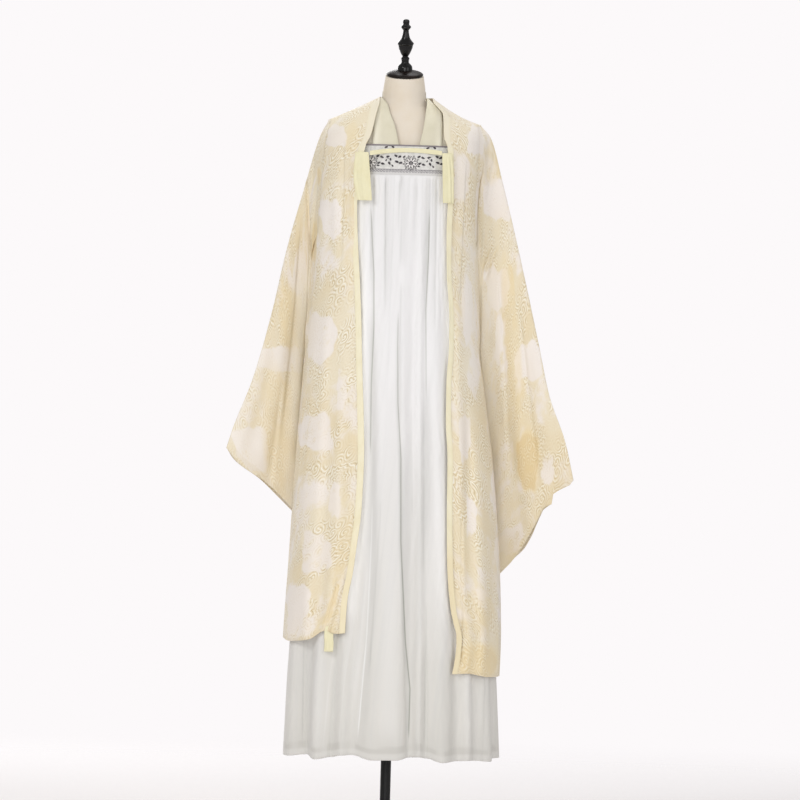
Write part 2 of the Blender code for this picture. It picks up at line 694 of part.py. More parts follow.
def sleeve_frame(side, u, v):
    """Middle of the sleeve: u from armhole to cuff, v from arm fold to seam."""
    fold, cuff = SLEEVE_FOLD[side], SLEEVE_CUFF[side]
    top = along(fold, u)
    hole_top, cuff_low = along(fold, 0), along(cuff, 1)
    pit = Vector((read(ROBE_SIDE, tag_of(side), ARMPIT), 0.0, ARMPIT))
    z = mix(ARMPIT, hole_top.z, 1 - v)
    hole = Vector((read(ROBE_SIDE, tag_of(side), z), 0.0, z))
    # the underarm seam winds round the outside of the body to its back
    z = mix(ARMPIT, cuff_low.z, u)
    clear = SLEEVE_SEAM + SLEEVE_CLEAR * step(u * 2)
    half = read(ROBE_SIDE, tag_of(side), z) + clear
    back = read(ROBE_DEPTH, "back", z) + clear
    end_half = read(ROBE_SIDE, tag_of(side), cuff_low.z) + SLEEVE_CLEAR
    turn = math.acos((cuff_low.x / end_half) ** (ROUND / 2)) * u
    low = Vector((half * math.cos(turn) ** (2 / ROUND),
                  back * math.sin(turn) ** (2 / ROUND), z))
    low = low.lerp(cuff_low, u ** 5)
    end = along(cuff, v)
    corner = (hole_top * (1 - u) * (1 - v) + along(fold, 1) * u * (1 - v)
              + pit * (1 - u) * v + cuff_low * u * v)
    p = top * (1 - v) + low * v + hole * (1 - u) + end * u - corner
    # push the point out of the body's oval, with room for the inner layer
    room = mix(0.0012, SLEEVE_CLEAR, step(u / 0.22))
    room += sleeve_full(u) * math.sqrt(max(v * (1 - v), 0)) * step(u / 0.1)
    half = read(ROBE_SIDE, tag_of(side), p.z) + room
    depth = read(ROBE_DEPTH, "back" if p.y > 0 else "front", p.z) + room
    inside = (max(p.x, 0.01) / half) ** ROUND + (abs(p.y) / depth) ** ROUND
    if inside < 1:
        grow = inside ** (-1 / ROUND)
        p = Vector((p.x * grow, p.y * grow, p.z))
    return p


def sleeve_point(side, u, turn):
    """turn goes round the sleeve in radians: 0 on the arm fold, front first."""
    v = (1 - math.cos(turn)) / 2
    p = sleeve_frame(side, u, v)
    # the two layers part across the line from the arm fold to the seam
    line = sleeve_frame(side, u, 1) - sleeve_frame(side, u, 0)
    across = Vector((line.y, -line.x, 0)) * (-1 if line.x > 0 else 1)
    across = across.normalized() if across.length > 1e-6 else Vector((0, -1, 0))
    if across.y > 0:
        across = -across
    n = Vector((0, -1, 0)).lerp(across, step(u / 0.5)).normalized()
    full = sleeve_full(u)
    p = p + n * (full / 2 * math.sin(turn))
    p.x += SLEEVE_SEAM * (1 - step(u / 0.08))
    return Vector((side * p.x, p.y, p.z))


def robe_outer(side, z):
    """Outer edge of the body panels: armhole lips, then the side seam."""
    top = RIDGE[side][1][1]
    x = read(ROBE_SIDE, tag_of(side), min(z, top))
    if z >= ARMPIT:
        v = min(max((top - z) / (top - ARMPIT), 0), 1)
        return x, MOUTH * math.sqrt(max(v * (1 - v), 0))
    return x, 0.0


def robe_point(side, share, down, way):
    """A point on the inside of the robe's body panel.

    Front: share 0 at the front edge, 1 at the outer edge. Back: share is the
    part of the outer edge's half width. down is 0 on the shoulder or neck
    line, ARM_SPLIT at the armpit's height and 1 at the hem.
    """
    (nx, nz), (ax, az) = RIDGE[side]
    if way == "front":
        start_x, start_y, start_z = mix(nx, ax, share), 0.0, mix(nz, az, share)
        start_z -= RIDGE_SAG[side] * math.sin(math.pi * share)
        hem = read(ROBE_HEM, tag_of(side), share)
    else:
        start_x, start_y, start_z = max(share * ax, GAP / 2), 0.0, 0.0
        if start_x < nx:
            start_y = NECKLINE_BACK * math.sqrt(max(0.0, 1 - (start_x / nx) ** 2))
            start_z = nz
        else:
            part = (start_x - nx) / (ax - nx)
            start_z = mix(nz, az, part) - RIDGE_SAG[side] * math.sin(math.pi * part)
        hem = read(ROBE_HEM, "back_" + tag_of(side), share)

    def height(start, hem_z):
        if down <= ARM_SPLIT:
            return mix(start, ARMPIT, down / ARM_SPLIT)
        return mix(ARMPIT, hem_z, (down - ARM_SPLIT) / (1 - ARM_SPLIT))
    z = height(start_z, hem)
    z_out = height(az, read(ROBE_HEM, tag_of(side), 1.0))
    out_x, out_y = robe_outer(side, z_out)
    if way == "front":
        z_edge = height(nz, read(ROBE_HEM, tag_of(side), 0.0))
        x = mix(read(ROBE_EDGE, tag_of(side), z_edge), out_x, share)
    else:
        x = max(share * out_x, GAP / 2)
    x = mix(start_x, x, step(down / 0.03))
    if share >= 0.9999:
        y = out_y
    else:
        half = out_x
        y = out_y + (read(ROBE_DEPTH, way, z) - out_y) * oval(x, half, 1.0)
        tall = mix(SHOULDER_H_NECK, SHOULDER_H_ARM, min(start_x / ax, 1))
        y = mix(start_y, y, rise((start_z - z) / tall))
        if z > 1.40:
            y = max(y, form_depth(x, z, way) + 0.0085 * rise((start_z - z) / 0.02))
        if way == "front":
            for s, at, wide, out, z0, z1 in ROBE_FOLDS[1:]:
                if s == side and z < z0 and abs(share - at) < wide:
                    y += out * step((z0 - z) / (z0 - z1)) * math.cos(
                        math.pi / 2 * (share - at) / wide) ** 2
    return Vector((side * x, -y if way == "front" else y, z))


FRONT_SHARES = (0.0, 0.16, 0.32, 0.48, 0.64, 0.80, 0.93, 1.0)
UPPER_ROWS = (0.0, 0.015, 0.05, 0.12, 0.25, 0.45, 0.72, 1.0)
LOWER_ROWS = (0.16, 0.34, 0.52, 0.68, 0.80, 0.90, 1.0)
ROBE_ROWS = tuple(v * ARM_SPLIT for v in UPPER_ROWS) + tuple(
    mix(ARM_SPLIT, 1.0, v) for v in LOWER_ROWS)


def make_robe_body(side):
    """One half of the robe's body, cut whole from front hem to back hem."""
    nx, ax = RIDGE[side][0][0], RIDGE[side][1][0]
    backs = [nx / ax * math.sin(math.radians(b)) for b in (0, 28, 54, 77)]
    backs += [mix(nx, ax, s) / ax for s in FRONT_SHARES]
    sheet = Sheet()
    sheet.grid([[robe_point(side, s, v, "front") for s in FRONT_SHARES]
                for v in ROBE_ROWS], flip=side > 0)
    sheet.grid([[robe_point(side, s, v, "back") for s in backs]
                for v in ROBE_ROWS], flip=side < 0)
    sheet.wall("robe_body_" + tag_of(side), CLOTH, robe_look)


SLEEVE_ROWS = (0.0, 0.035, 0.08, 0.14, 0.23, 0.34, 0.46, 0.58, 0.70, 0.81, 0.91, 1.0)


def make_sleeve(side):
    """An open tube of cloth, flattened, from the armhole to the cuff."""
    around = 16
    sheet = Sheet()
    rows = []
    for u in SLEEVE_ROWS:
        rows.append([sleeve_point(side, u, 2 * math.pi * j / around) for j in range(around)])
    sheet.grid(rows, flip=side < 0, loop=True)
    sheet.wall("robe_sleeve_" + tag_of(side), CLOTH, robe_look)


def robe_moved(side, share, down, way, out):
    """A point moved out from the robe's body along its own normal."""
    e = 0.01
    p = robe_point(side, share, down, way)
    a = robe_point(side, min(share + e, 0.99), down, way) - robe_point(side, max(share - e, 0), down, way)
    b = robe_point(side, share, min(down + e, 1), way) - robe_point(side, share, max(down - e, 0), way)
    n = a.cross(b).normalized()
    if (n.y > 0) == (way == "front"):
        n = -n
    return p + n * out


def make_front_band(side):
    """The narrow band sewn along a front edge, on the outside."""
    sheet, rows = Sheet(), []
    for v in ROBE_ROWS[1:]:
        here = robe_point(side, 0, v, "front")
        outer = robe_point(side, 1, v, "front")
        wide = FRONT_BAND_W / (outer - here).xy.length
        rows.append([robe_moved(side, wide * k / 2, v, "front", CLOTH + 0.0010) for k in range(3)])
    sheet.grid(rows, flip=side > 0)
    sheet.wall("robe_band_" + tag_of(side), CLOTH, band_look)


for side in (-1, 1):
    make_robe_body(side)
    make_sleeve(side)
    make_front_band(side)

# the band behind the neck, on the outside of the back panels
sheet, rows = Sheet(), []
for part in (0.03, 0.3, 1.0):
    row = []
    for side, bearings in ((-1, (84, 60, 45, 30, 15)), (1, (0, 15, 30, 45, 60, 84))):
        nx, ax = RIDGE[side][0][0], RIDGE[side][1][0]
        for b in bearings:
            p = robe_moved(side, nx / ax * math.sin(math.radians(b)),
                           part * UPPER_ROWS[2] * ARM_SPLIT, "back", CLOTH + 0.0010)
            if b == 0:
                p.x = 0.0
            row.append(p)
    rows.append(row)
sheet.grid(rows)
sheet.wall("robe_band_neck", CLOTH, band_look)

# end of the band, sewn inside the left hem and hanging below it
tie_rows = []
for z in (0.4200, 0.4130, 0.4060, 0.3960, 0.3860, 0.3760, 0.3653):
    row = []
    for share, x in ((0.333, -0.1395), (0.262, -0.1298), (0.189, -0.1200)):
        above = max(z - robe_point(-1, share, 1.0, "front").z, 0.0)
        row.append(Vector((x, robe_point(-1, share, 1.0 - above / 1.42, "front").y + 0.0019, z)))
    tie_rows.append(row)
sheet = Sheet()
sheet.grid(tie_rows, flip=False)
sheet.wall("robe_tie_end_left", CLOTH, ribbon_look)


# ---------------------------------------------------- ribbon and its ends
TABS = {
    -1: (("z", "inner", "outer"), (1.4380, 0.0727, 0.1010), (1.3880, 0.0680, 0.1040),
         (1.3340, 0.0626, 0.0935)),
    1: (("z", "inner", "outer"), (1.4400, 0.0850, 0.1060), (1.3860, 0.0872, 0.1110),
        (1.3330, 0.0892, 0.1120)),
}


def robe_front_y(side, x, z):
    """Depth of the robe's front oval, also where the front edge stops."""
    half = robe_outer(side, z)[0]
    lip = robe_outer(side, z)[1]
    return lip + (read(ROBE_DEPTH, "front", z) - lip) * oval(x, half, 1.0)


for side in (-1, 1):
    sheet, rows = Sheet(), []
    table = TABS[side]
    heights = column(table, "z")
    for k in range(6):
        z = mix(heights[0], heights[-1], k / 5)
        row = []
        for j in range(5):
            x = mix(read(table, "inner", z), read(table, "outer", z), j / 4)
            row.append(Vector((side * x, -robe_front_y(side, x, z) - 0.0066, z)))
        rows.append(row)
    sheet.grid(rows, flip=side > 0)
    sheet.wall("tie_tab_" + tag_of(side), CLOTH, ribbon_look)

sheet, rows = Sheet(), []
for k in range(-8, 9):
    x = mix(-0.0700, 0.0843, (k + 8) / 16)
    side = -1 if x < 0 else 1
    arch = mix(1.4357, 1.4395, (k + 8) / 16) + 0.0068 * (1 - (k / 8) ** 2)
    near = oval(x, 0.1575, 0.1052) + 0.0024
    far = robe_front_y(side, x, arch) + 0.0066
    row = []
    for j in (0, 0.5, 1):
        z = arch + RIBBON_H * (j - 0.5)
        slope = read(SKIRT, "front", z) - 0.1052
        y = mix(near + slope, robe_front_y(side, x, z) + 0.0066, step((abs(k) - 4) / 4))
        row.append(Vector((x, -y, z)))
    rows.append(row)
sheet.grid(rows, flip=True)
sheet.wall("chest_ribbon", CLOTH, ribbon_look)
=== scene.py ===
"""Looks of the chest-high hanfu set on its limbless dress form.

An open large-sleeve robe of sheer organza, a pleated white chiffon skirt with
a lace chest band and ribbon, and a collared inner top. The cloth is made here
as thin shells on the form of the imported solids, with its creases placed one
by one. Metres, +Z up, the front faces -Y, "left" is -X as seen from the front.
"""

import math

import bpy
import numpy as np
from mathutils import Matrix, Vector


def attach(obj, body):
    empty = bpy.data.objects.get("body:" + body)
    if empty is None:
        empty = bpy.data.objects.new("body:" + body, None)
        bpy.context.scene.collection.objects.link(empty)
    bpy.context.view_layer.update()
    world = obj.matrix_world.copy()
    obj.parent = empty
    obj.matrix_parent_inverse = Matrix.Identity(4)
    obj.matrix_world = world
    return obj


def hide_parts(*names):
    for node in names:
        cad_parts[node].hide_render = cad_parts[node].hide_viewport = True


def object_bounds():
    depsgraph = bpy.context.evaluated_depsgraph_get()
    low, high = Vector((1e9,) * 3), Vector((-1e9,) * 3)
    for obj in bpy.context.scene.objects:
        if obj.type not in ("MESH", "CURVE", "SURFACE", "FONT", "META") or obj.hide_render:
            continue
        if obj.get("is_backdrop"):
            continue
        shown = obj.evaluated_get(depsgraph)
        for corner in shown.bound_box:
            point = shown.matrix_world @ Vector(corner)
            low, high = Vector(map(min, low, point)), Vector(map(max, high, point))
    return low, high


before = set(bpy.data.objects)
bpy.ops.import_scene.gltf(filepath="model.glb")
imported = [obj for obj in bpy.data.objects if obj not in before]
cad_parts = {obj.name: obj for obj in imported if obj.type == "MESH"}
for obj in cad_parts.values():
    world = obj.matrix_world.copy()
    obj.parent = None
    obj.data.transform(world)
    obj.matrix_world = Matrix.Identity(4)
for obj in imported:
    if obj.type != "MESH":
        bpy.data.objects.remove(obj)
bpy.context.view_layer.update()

# ------------------------------------------------------------------ camera
# the view leans by 1.57 degrees; a long lens keeps the garment's outline flat
VIEW_AT = Vector((0.0089, 0.0, 0.9081))
VIEW_SPAN, VIEW_FAR, VIEW_ROLL = 1.720, 20.0, math.radians(1.57)
cam_data = bpy.data.cameras.new("camera")
cam = bpy.data.objects.new("camera", cam_data)
bpy.context.scene.collection.objects.link(cam)
cam_data.sensor_width = 36.0
cam_data.lens = 36.0 * (VIEW_FAR - 0.08) / VIEW_SPAN
cam_data.clip_end = 200.0
right = Vector((math.cos(VIEW_ROLL), 0, math.sin(VIEW_ROLL)))
up = Vector((-math.sin(VIEW_ROLL), 0, math.cos(VIEW_ROLL)))
back = right.cross(up)
cam.matrix_world = Matrix.Translation(VIEW_AT + Vector((0, -VIEW_FAR, 0))) @ Matrix((
    (right.x, up.x, back.x), (right.y, up.y, back.y), (right.z, up.z, back.z))).to_4x4()
bpy.context.scene.camera = cam

# ------------------------------------------------------------------ sizes
GAP = 0.0003          # between pieces that meet
CLOTH = 0.0012        # wall of one layer of cloth
LACE = 0.0014         # wall of the lace chest band
ROUND = 2.4           # squareness of the ovals of the worn cloth

BASE_R, BASE_EDGE, BASE_MID = 0.190, 0.0050, 0.0120
BOSS_R, BOSS_TOP = 0.022, 0.030
POLE_R, SOCKET_R = 0.0112, 0.0118
POLE_TOP = 0.8597
FORM_BOTTOM, FORM_SOCKET_TOP = 0.800, 0.860

NECK_TILT = math.radians(12.0)
NECK_TOP_Z, NECK_TOP_Y = 1.6073, -0.004
CAP_R, CAP_H = 0.0396, 0.0128

BAND_LOW, BAND_TOP = 1.392, 1.456     # lace chest band of the skirt
SKIRT_HEM = 0.140
RIBBON_H = 0.0095
FRONT_BAND_W = 0.020                  # front band of the robe

ARMPIT = 1.235                        # height of the robe's armhole bottom
ARM_SPLIT = 0.42                      # share of a robe row range above it
SHOULDER_H_NECK, SHOULDER_H_ARM = 0.055, 0.060
MOUTH = 0.040                         # width of the armhole, front to back

# the foam form: ovals from the underside up to the neck
FORM = (
    ("z", "half", "front", "back", "n"),
    (0.800, 0.1400, 0.0980, 0.1120, 2.3),
    (0.815, 0.1520, 0.1050, 0.1180, 2.3),
    (0.900, 0.1590, 0.1080, 0.1220, 2.3),
    (0.980, 0.1480, 0.1040, 0.1120, 2.3),
    (1.070, 0.1230, 0.0920, 0.0910, 2.3),
    (1.140, 0.1200, 0.0930, 0.0860, 2.3),
    (1.220, 0.1310, 0.1070, 0.0920, 2.3),
    (1.310, 0.1410, 0.1200, 0.0980, 2.3),
    (1.392, 0.1440, 0.1080, 0.0985, 2.3),
    (1.425, 0.1430, 0.1010, 0.0960, 2.3),
    (1.456, 0.1400, 0.0940, 0.0920, 2.2),
    (1.472, 0.1350, 0.0890, 0.0880, 2.1),
    (1.484, 0.1270, 0.0845, 0.0845, 2.0),
    (1.496, 0.1130, 0.0790, 0.0800, 2.0),
    (1.508, 0.0950, 0.0730, 0.0745, 2.0),
    (1.520, 0.0770, 0.0670, 0.0690, 2.0),
    (1.532, 0.0610, 0.0605, 0.0630, 2.0),
    (1.545, 0.0500, 0.0540, 0.0565, 2.0),
    (1.560, 0.0465, 0.0485, 0.0515, 2.0),
    (1.575, 0.0456, 0.0462, 0.0492, 2.0),
    (1.6070, 0.0412, 0.0412, 0.0412, 2.0),
)

# turned finial: height above the cap and radius, before it is stretched
FINIAL_STRETCH = 1.022
FINIAL = (
    ("h", "r"),
    (0.0003, 0.0164), (0.0046, 0.0160), (0.0090, 0.0150), (0.0128, 0.0116),
    (0.0158, 0.0087), (0.0187, 0.0081), (0.0222, 0.0084), (0.0255, 0.0091),
    (0.0284, 0.0070), (0.0299, 0.0062), (0.0322, 0.0077), (0.0361, 0.0100),
    (0.0419, 0.0127), (0.0477, 0.0149), (0.0540, 0.0162), (0.0569, 0.0178),
    (0.0590, 0.0168), (0.0641, 0.0124), (0.0699, 0.0089), (0.0786, 0.0069),
    (0.0853, 0.0062), (0.0882, 0.0081), (0.0922, 0.0108), (0.0950, 0.0094),
    (0.0975, 0.0068), (0.1017, 0.0071), (0.1060, 0.0070), (0.1084, 0.0046),
)

# the skirt's mean oval, from the top of the chest band to the hem
SKIRT = (
    ("z", "left", "right", "front", "back"),
    (1.456, 0.1575, 0.1575, 0.1052, 0.1015),
    (1.392, 0.1525, 0.1525, 0.1185, 0.1065),
    (1.310, 0.1535, 0.1535, 0.1295, 0.1085),
    (1.226, 0.1580, 0.1555, 0.1335, 0.1130),
    (1.100, 0.1660, 0.1605, 0.1385, 0.1220),
    (0.940, 0.1780, 0.1710, 0.1445, 0.1330),
    (0.800, 0.1885, 0.1860, 0.1495, 0.1420),
    (0.660, 0.1985, 0.2040, 0.1545, 0.1500),
    (0.520, 0.2060, 0.2150, 0.1595, 0.1570),
    (0.400, 0.2115, 0.2235, 0.1640, 0.1630),
    (0.300, 0.2160, 0.2310, 0.1680, 0.1680),
    (0.140, 0.2200, 0.2410, 0.1740, 0.1740),
)
# folds of the skirt: bearing from the middle of the front (degrees, + to the
# right), how far the cloth stands out or in at the hem, how far the hem drops
SKIRT_FRONT_FOLDS = (
    ("angle", "out", "drop"),
    (-90, 0.002, 0.000), (-66, 0.009, 0.002), (-51, -0.009, -0.003),
    (-38, 0.010, 0.006), (-29, -0.007, 0.000), (-22, 0.003, -0.004),
    (-16, -0.008, -0.006), (-5, 0.009, 0.004), (3, 0.008, 0.003),
    (9, -0.009, -0.004), (13, 0.002, -0.005), (17, -0.006, -0.003),
    (25, 0.010, 0.006), (37, -0.008, 0.002), (43, 0.003, 0.001),
    (50, -0.007, 0.001), (62, 0.008, 0.003), (75, -0.006, -0.003),
    (90, 0.003, -0.003),
)
SKIRT_BACK_FOLDS = (
    ("angle", "out", "drop"),
    (90, 0.003, -0.003), (103, -0.008, 0.000), (117, 0.009, 0.004),
    (130, -0.008, -0.001), (142, 0.009, 0.005), (155, -0.009, -0.003),
    (167, 0.008, 0.003), (181, -0.008, 0.000), (192, 0.009, 0.005),
    (206, -0.009, -0.002), (218, 0.008, 0.004), (232, -0.008, 0.000),
    (245, 0.009, 0.003), (257, -0.007, 0.000), (270, 0.002, 0.000),
)

# the robe's outer edge (armhole line, then side seam) as half widths
ROBE_SIDE = (
    ("z", "left", "right"),
    (1.509, 0.1600, 0.1640), (1.470, 0.1700, 0.1695), (1.406, 0.1755, 0.1665),
    (1.343, 0.1790, 0.1640), (1.226, 0.1848, 0.1660), (1.128, 0.1905, 0.1700),
    (1.018, 0.1980, 0.1765), (0.940, 0.2028, 0.1890), (0.843, 0.2090, 0.2030),
    (0.787, 0.2120, 0.2110), (0.660, 0.2175, 0.2245), (0.530, 0.2230, 0.2350),
    (0.450, 0.2270, 0.2390), (0.390, 0.2292, 0.2405), (0.310, 0.2300, 0.2390),
)
# the robe's front edges
ROBE_EDGE = (
    ("z", "left", "right"),
    (1.561, 0.0515, 0.0590), (1.540, 0.0540, 0.0735), (1.525, 0.0578, 0.0840),
    (1.473, 0.0698, 0.0885), (1.456, 0.0785, 0.0955), (1.388, 0.0895, 0.0985),
    (1.325, 0.0942, 0.0995), (1.282, 0.0926, 0.0986), (1.212, 0.0878, 0.1004),
    (1.169, 0.0843, 0.1024), (1.126, 0.0812, 0.1070), (1.083, 0.0786, 0.1100),
    (1.0185, 0.0757, 0.1107), (0.954, 0.0724, 0.1072), (0.868, 0.0676, 0.1080),
    (0.781, 0.0645, 0.1140), (0.672, 0.0669, 0.1154), (0.589, 0.0755, 0.1180),
    (0.534, 0.0819, 0.1210), (0.479, 0.0916, 0.1270), (0.440, 0.0937, 0.1340),
    (0.406, 0.0950, 0.1440), (0.372, 0.0950, 0.1430), (0.324, 0.0950, 0.1365),
)
ROBE_DEPTH = (
    ("z", "front", "back"),
    (1.561, 0.0720, 0.0700), (1.500, 0.0960, 0.0930), (1.456, 0.1135, 0.1090),
    (1.392, 0.1270, 0.1155), (1.310, 0.1390, 0.1195), (1.226, 0.1440, 0.1250),
    (1.100, 0.1505, 0.1350), (0.940, 0.1590, 0.1475), (0.800, 0.1660, 0.1575),
    (0.660, 0.1720, 0.1665), (0.520, 0.1785, 0.1745), (0.400, 0.1840, 0.1815),
    (0.300, 0.1880, 0.1870),
)
# hems of the robe: share of the way from the front edge to the side seam
ROBE_HEM = (
    ("share", "left", "right", "back_left", "back_right"),
    (0.00, 0.406, 0.324, 0.372, 0.364),
    (0.15, 0.404, 0.325, 0.370, 0.360),
    (0.32, 0.410, 0.326, 0.374, 0.356),
    (0.57, 0.3905, 0.322, 0.380, 0.346),
    (0.73, 0.3865, 0.319, 0.384, 0.334),
    (0.90, 0.3845, 0.3186, 0.387, 0.324),
    (1.00, 0.390, 0.3190, 0.390, 0.319),
)
# soft folds of the robe's fronts: share across, half width in shares, height
# of the ridge, and where down the front it starts and is full
ROBE_FOLDS = (
    ("side", "share", "width", "out", "start", "full"),
    (-1, 0.30, 0.16, 0.0040, 1.20, 0.80),
    (-1, 0.66, 0.14, 0.0050, 1.30, 0.90),
    (1, 0.28, 0.16, 0.0050, 1.25, 0.85),
    (1, 0.62, 0.15, 0.0045, 1.10, 0.70),
)
# shoulder ridge: neck point and arm point of each side
RIDGE = {-1: ((0.0515, 1.5610), (0.1600, 1.5090)),
         1: ((0.0615, 1.5608), (0.1640, 1.5060))}
RIDGE_SAG = {-1: 0.0012, 1: 0.0060}
NECKLINE_BACK = 0.072  # how far the robe's neckline reaches behind the neck

# sleeves: the fold along the arm line, from the shoulder to the cuff
SLEEVE_FOLD = {
    -1: (("x", "y", "z"),
         (0.1600, 0.000, 1.5090), (0.1787, 0.000, 1.4720),
         (0.2080, -0.002, 1.3646), (0.2390, -0.004, 1.2410),
         (0.2700, -0.006, 1.0927), (0.3098, -0.008, 0.9435),
         (0.3480, -0.010, 0.8409), (0.3620, -0.010, 0.7938)),
    1: (("x", "y", "z"),
        (0.1640, 0.000, 1.5060), (0.1890, 0.000, 1.4770),
        (0.2132, -0.002, 1.3965), (0.2499, -0.004, 1.2571),
        (0.3034, -0.006, 1.0370), (0.3311, -0.008, 0.9228),
        (0.3669, -0.010, 0.8276), (0.3870, -0.010, 0.7442)),
}
# the cuff, from its upper corner to its lower corner behind the body
SLEEVE_CUFF = {
    -1: (("x", "y", "z"),
         (0.3620, -0.010, 0.7938), (0.3436, 0.002, 0.7661),
         (0.2793, 0.046, 0.7199), (0.2513, 0.068, 0.6934),
         (0.2175, 0.098, 0.6599), (0.1450, 0.163, 0.5880)),
    1: (("x", "y", "z"),
        (0.3870, -0.010, 0.7442), (0.3446, 0.020, 0.6950),
        (0.3114, 0.044, 0.6439), (0.2750, 0.071, 0.5742),
        (0.2351, 0.105, 0.5306), (0.1600, 0.172, 0.4500)),
}
SLEEVE_SEAM = 0.0020   # from the armhole's lips to the sleeve's edge
SLEEVE_CLEAR = 0.0055  # middle of the sleeve to the robe's back where it wraps
SLEEVE_NARROW = 0.018  # fullness just below the shoulder
SLEEVE_FULL = 0.034    # fullness of the sleeve, layer to layer, half-way down
SLEEVE_CUFF_FULL = 0.022

# inner top
INNER_SIDE = (
    ("z", "half"),
    (1.500, 0.1300), (1.456, 0.1440), (1.392, 0.1480), (1.310, 0.1460),
    (1.250, 0.1400), (1.200, 0.1330),
)
INNER_DEPTH = (
    ("z", "front", "back"),
    (1.556, 0.0600, 0.0600), (1.500, 0.0850, 0.0860), (1.456, 0.0985, 0.0965),
    (1.392, 0.1115, 0.1020), (1.310, 0.1235, 0.1015), (1.250, 0.1175, 0.0985),
    (1.200, 0.1070, 0.0930),
)
INNER_LOW = 1.215
INNER_RIDGE = ((0.0510, 1.5560), (0.1240, 1.5140))
# the inner collar's two long edges on each side of the opening
COLLAR = (
    ("z", "in_left", "out_left", "in_right", "out_right"),
    (1.5600, 0.0486, 0.0500, 0.0490, 0.0504),
    (1.5470, 0.0360, 0.0530, 0.0490, 0.0640),
    (1.5240, 0.0290, 0.0590, 0.0470, 0.0820),
    (1.4960, 0.0180, 0.0634, 0.0438, 0.0840),
    (1.4690, 0.0112, 0.0645, 0.0382, 0.0840),
    (1.4200, 0.0020, 0.0600, 0.0300, 0.0800),
    (1.3900, 0.0015, 0.0580, 0.0250, 0.0770),
)

# ---------------------------------------------------------------- helpers
def column(table, name):
    """All values of one named column of a table."""
    at = table[0].index(name)
    return [row[at] for row in table[1:]]


def read(table, name, key):
    """A column's value at key in the first column, smooth between rows."""
    keys, values = column(table, table[0][0]), column(table, name)
    if keys[0] > keys[-1]:
        keys, values = keys[::-1], values[::-1]
    if key <= keys[0]:
        return values[0]
    if key >= keys[-1]:
        return values[-1]
    i = max(k for k in range(len(keys) - 1) if keys[k] <= key)

    def slope(k):
        if k in (0, len(keys) - 1):
            return 0.0 if len(keys) > 2 else (values[1] - values[0]) / (keys[1] - keys[0])
        a = (values[k] - values[k - 1]) / (keys[k] - keys[k - 1])
        b = (values[k + 1] - values[k]) / (keys[k + 1] - keys[k])
        return 0.0 if a * b <= 0 else 2 * a * b / (a + b)

    h = keys[i + 1] - keys[i]
    t = (key - keys[i]) / h
    a, b = slope(i), slope(i + 1)
    if i == 0:
        a = (values[1] - values[0]) / h
    if i == len(keys) - 2:
        b = (values[-1] - values[-2]) / h
    return (values[i] * (2 * t ** 3 - 3 * t * t + 1) + a * h * (t ** 3 - 2 * t * t + t)
            + values[i + 1] * (3 * t * t - 2 * t ** 3) + b * h * (t ** 3 - t * t))


def along(table, t):
    """The point at share t of the length of a smooth curve through a table."""
    points = [Vector(row) for row in table[1:]]
    lengths = [0.0]
    for a, b in zip(points, points[1:]):
        lengths.append(lengths[-1] + (b - a).length)
    share = [s / lengths[-1] for s in lengths]
    out = []
    for axis in range(3):
        rows = (("s", "v"),) + tuple((s, p[axis]) for s, p in zip(share, points))
        out.append(read(rows, "v", t))
    return Vector(out)


def mix(a, b, t):
    return a + (b - a) * t


def step(t):
    t = min(max(t, 0.0), 1.0)
    return t * t * (3 - 2 * t)


def rise(t):
    """Quarter of a circle: 0 at 0, 1 from 1 on, steep at first."""
    t = min(max(t, 0.0), 1.0)
    return math.sqrt(1 - (1 - t) ** 2)


def oval(x, half, depth, n=ROUND):
    """Depth of an oval at distance x from its middle, 0 beyond its ends."""
    q = min(abs(x) / half, 1.0)
    return depth * (1 - q ** n) ** (1 / n)


def form_depth(x, z, way):
    """How far the form reaches at x and z, way "front" or "back"."""
    if z > FORM[-1][0] or z < FORM[1][0]:
        return 0.0
    return oval(x, read(FORM, "half", z), read(FORM, way, z), read(FORM, "n", z))


def form_ring(row, segments):
    """One oval of the form; the last rows lean to the tilt of the neck."""
    z, half, front, back, n = row
    lean = step((z - 1.560) / (FORM[-1][0] - 1.560))
    ring = []
    for k in range(segments):
        a = 2 * math.pi * k / segments
        s, c = math.sin(a), math.cos(a)
        x = half * math.copysign(abs(s) ** (2 / n), s)
        y = (-front if c > 0 else back) * abs(c) ** (2 / n)
        y += NECK_TOP_Y * lean
        ring.append(Vector((x, y, z + lean * math.tan(NECK_TILT) * (y - NECK_TOP_Y))))
    return ring


# ------------------------------------------------------------------ skirt
SKIRT_N = ROUND


def skirt_base(angle, z, grow=0.0):
    """A point of the skirt's mean oval and its outward direction in plan."""
    def at(a):
        s, c = math.sin(a), math.cos(a)
        half = read(SKIRT, "right" if s > 0 else "left", z) + grow
        depth = read(SKIRT, "front" if c > 0 else "back", z) + grow
        return Vector((half * math.copysign(abs(s) ** (2 / SKIRT_N), s),
                       -depth * math.copysign(abs(c) ** (2 / SKIRT_N), c), z))
    d = 0.01
    run = at(angle + d) - at(angle - d)
    return at(angle), Vector((run.y, -run.x, 0)).normalized()


def fold_at(table, name, degrees):
    """Height of the folds between the rows of a table, as soft waves."""
    angles, values = column(table, "angle"), column(table, name)
    for a, b, va, vb in zip(angles, angles[1:], values, values[1:]):
        if a <= degrees <= b:
            return mix(va, vb, step((degrees - a) / (b - a)))
    return values[0] if degrees < angles[0] else values[-1]


def skirt_point(table, degrees, down):
    """down runs from 0 under the chest band to 1 at the hem."""
    hem = SKIRT_HEM - fold_at(table, "drop", degrees)
    z = mix(BAND_LOW - GAP, hem, down)
    p, out = skirt_base(math.radians(degrees), z)
    return p + out * (fold_at(table, "out", degrees) * down ** 0.7)


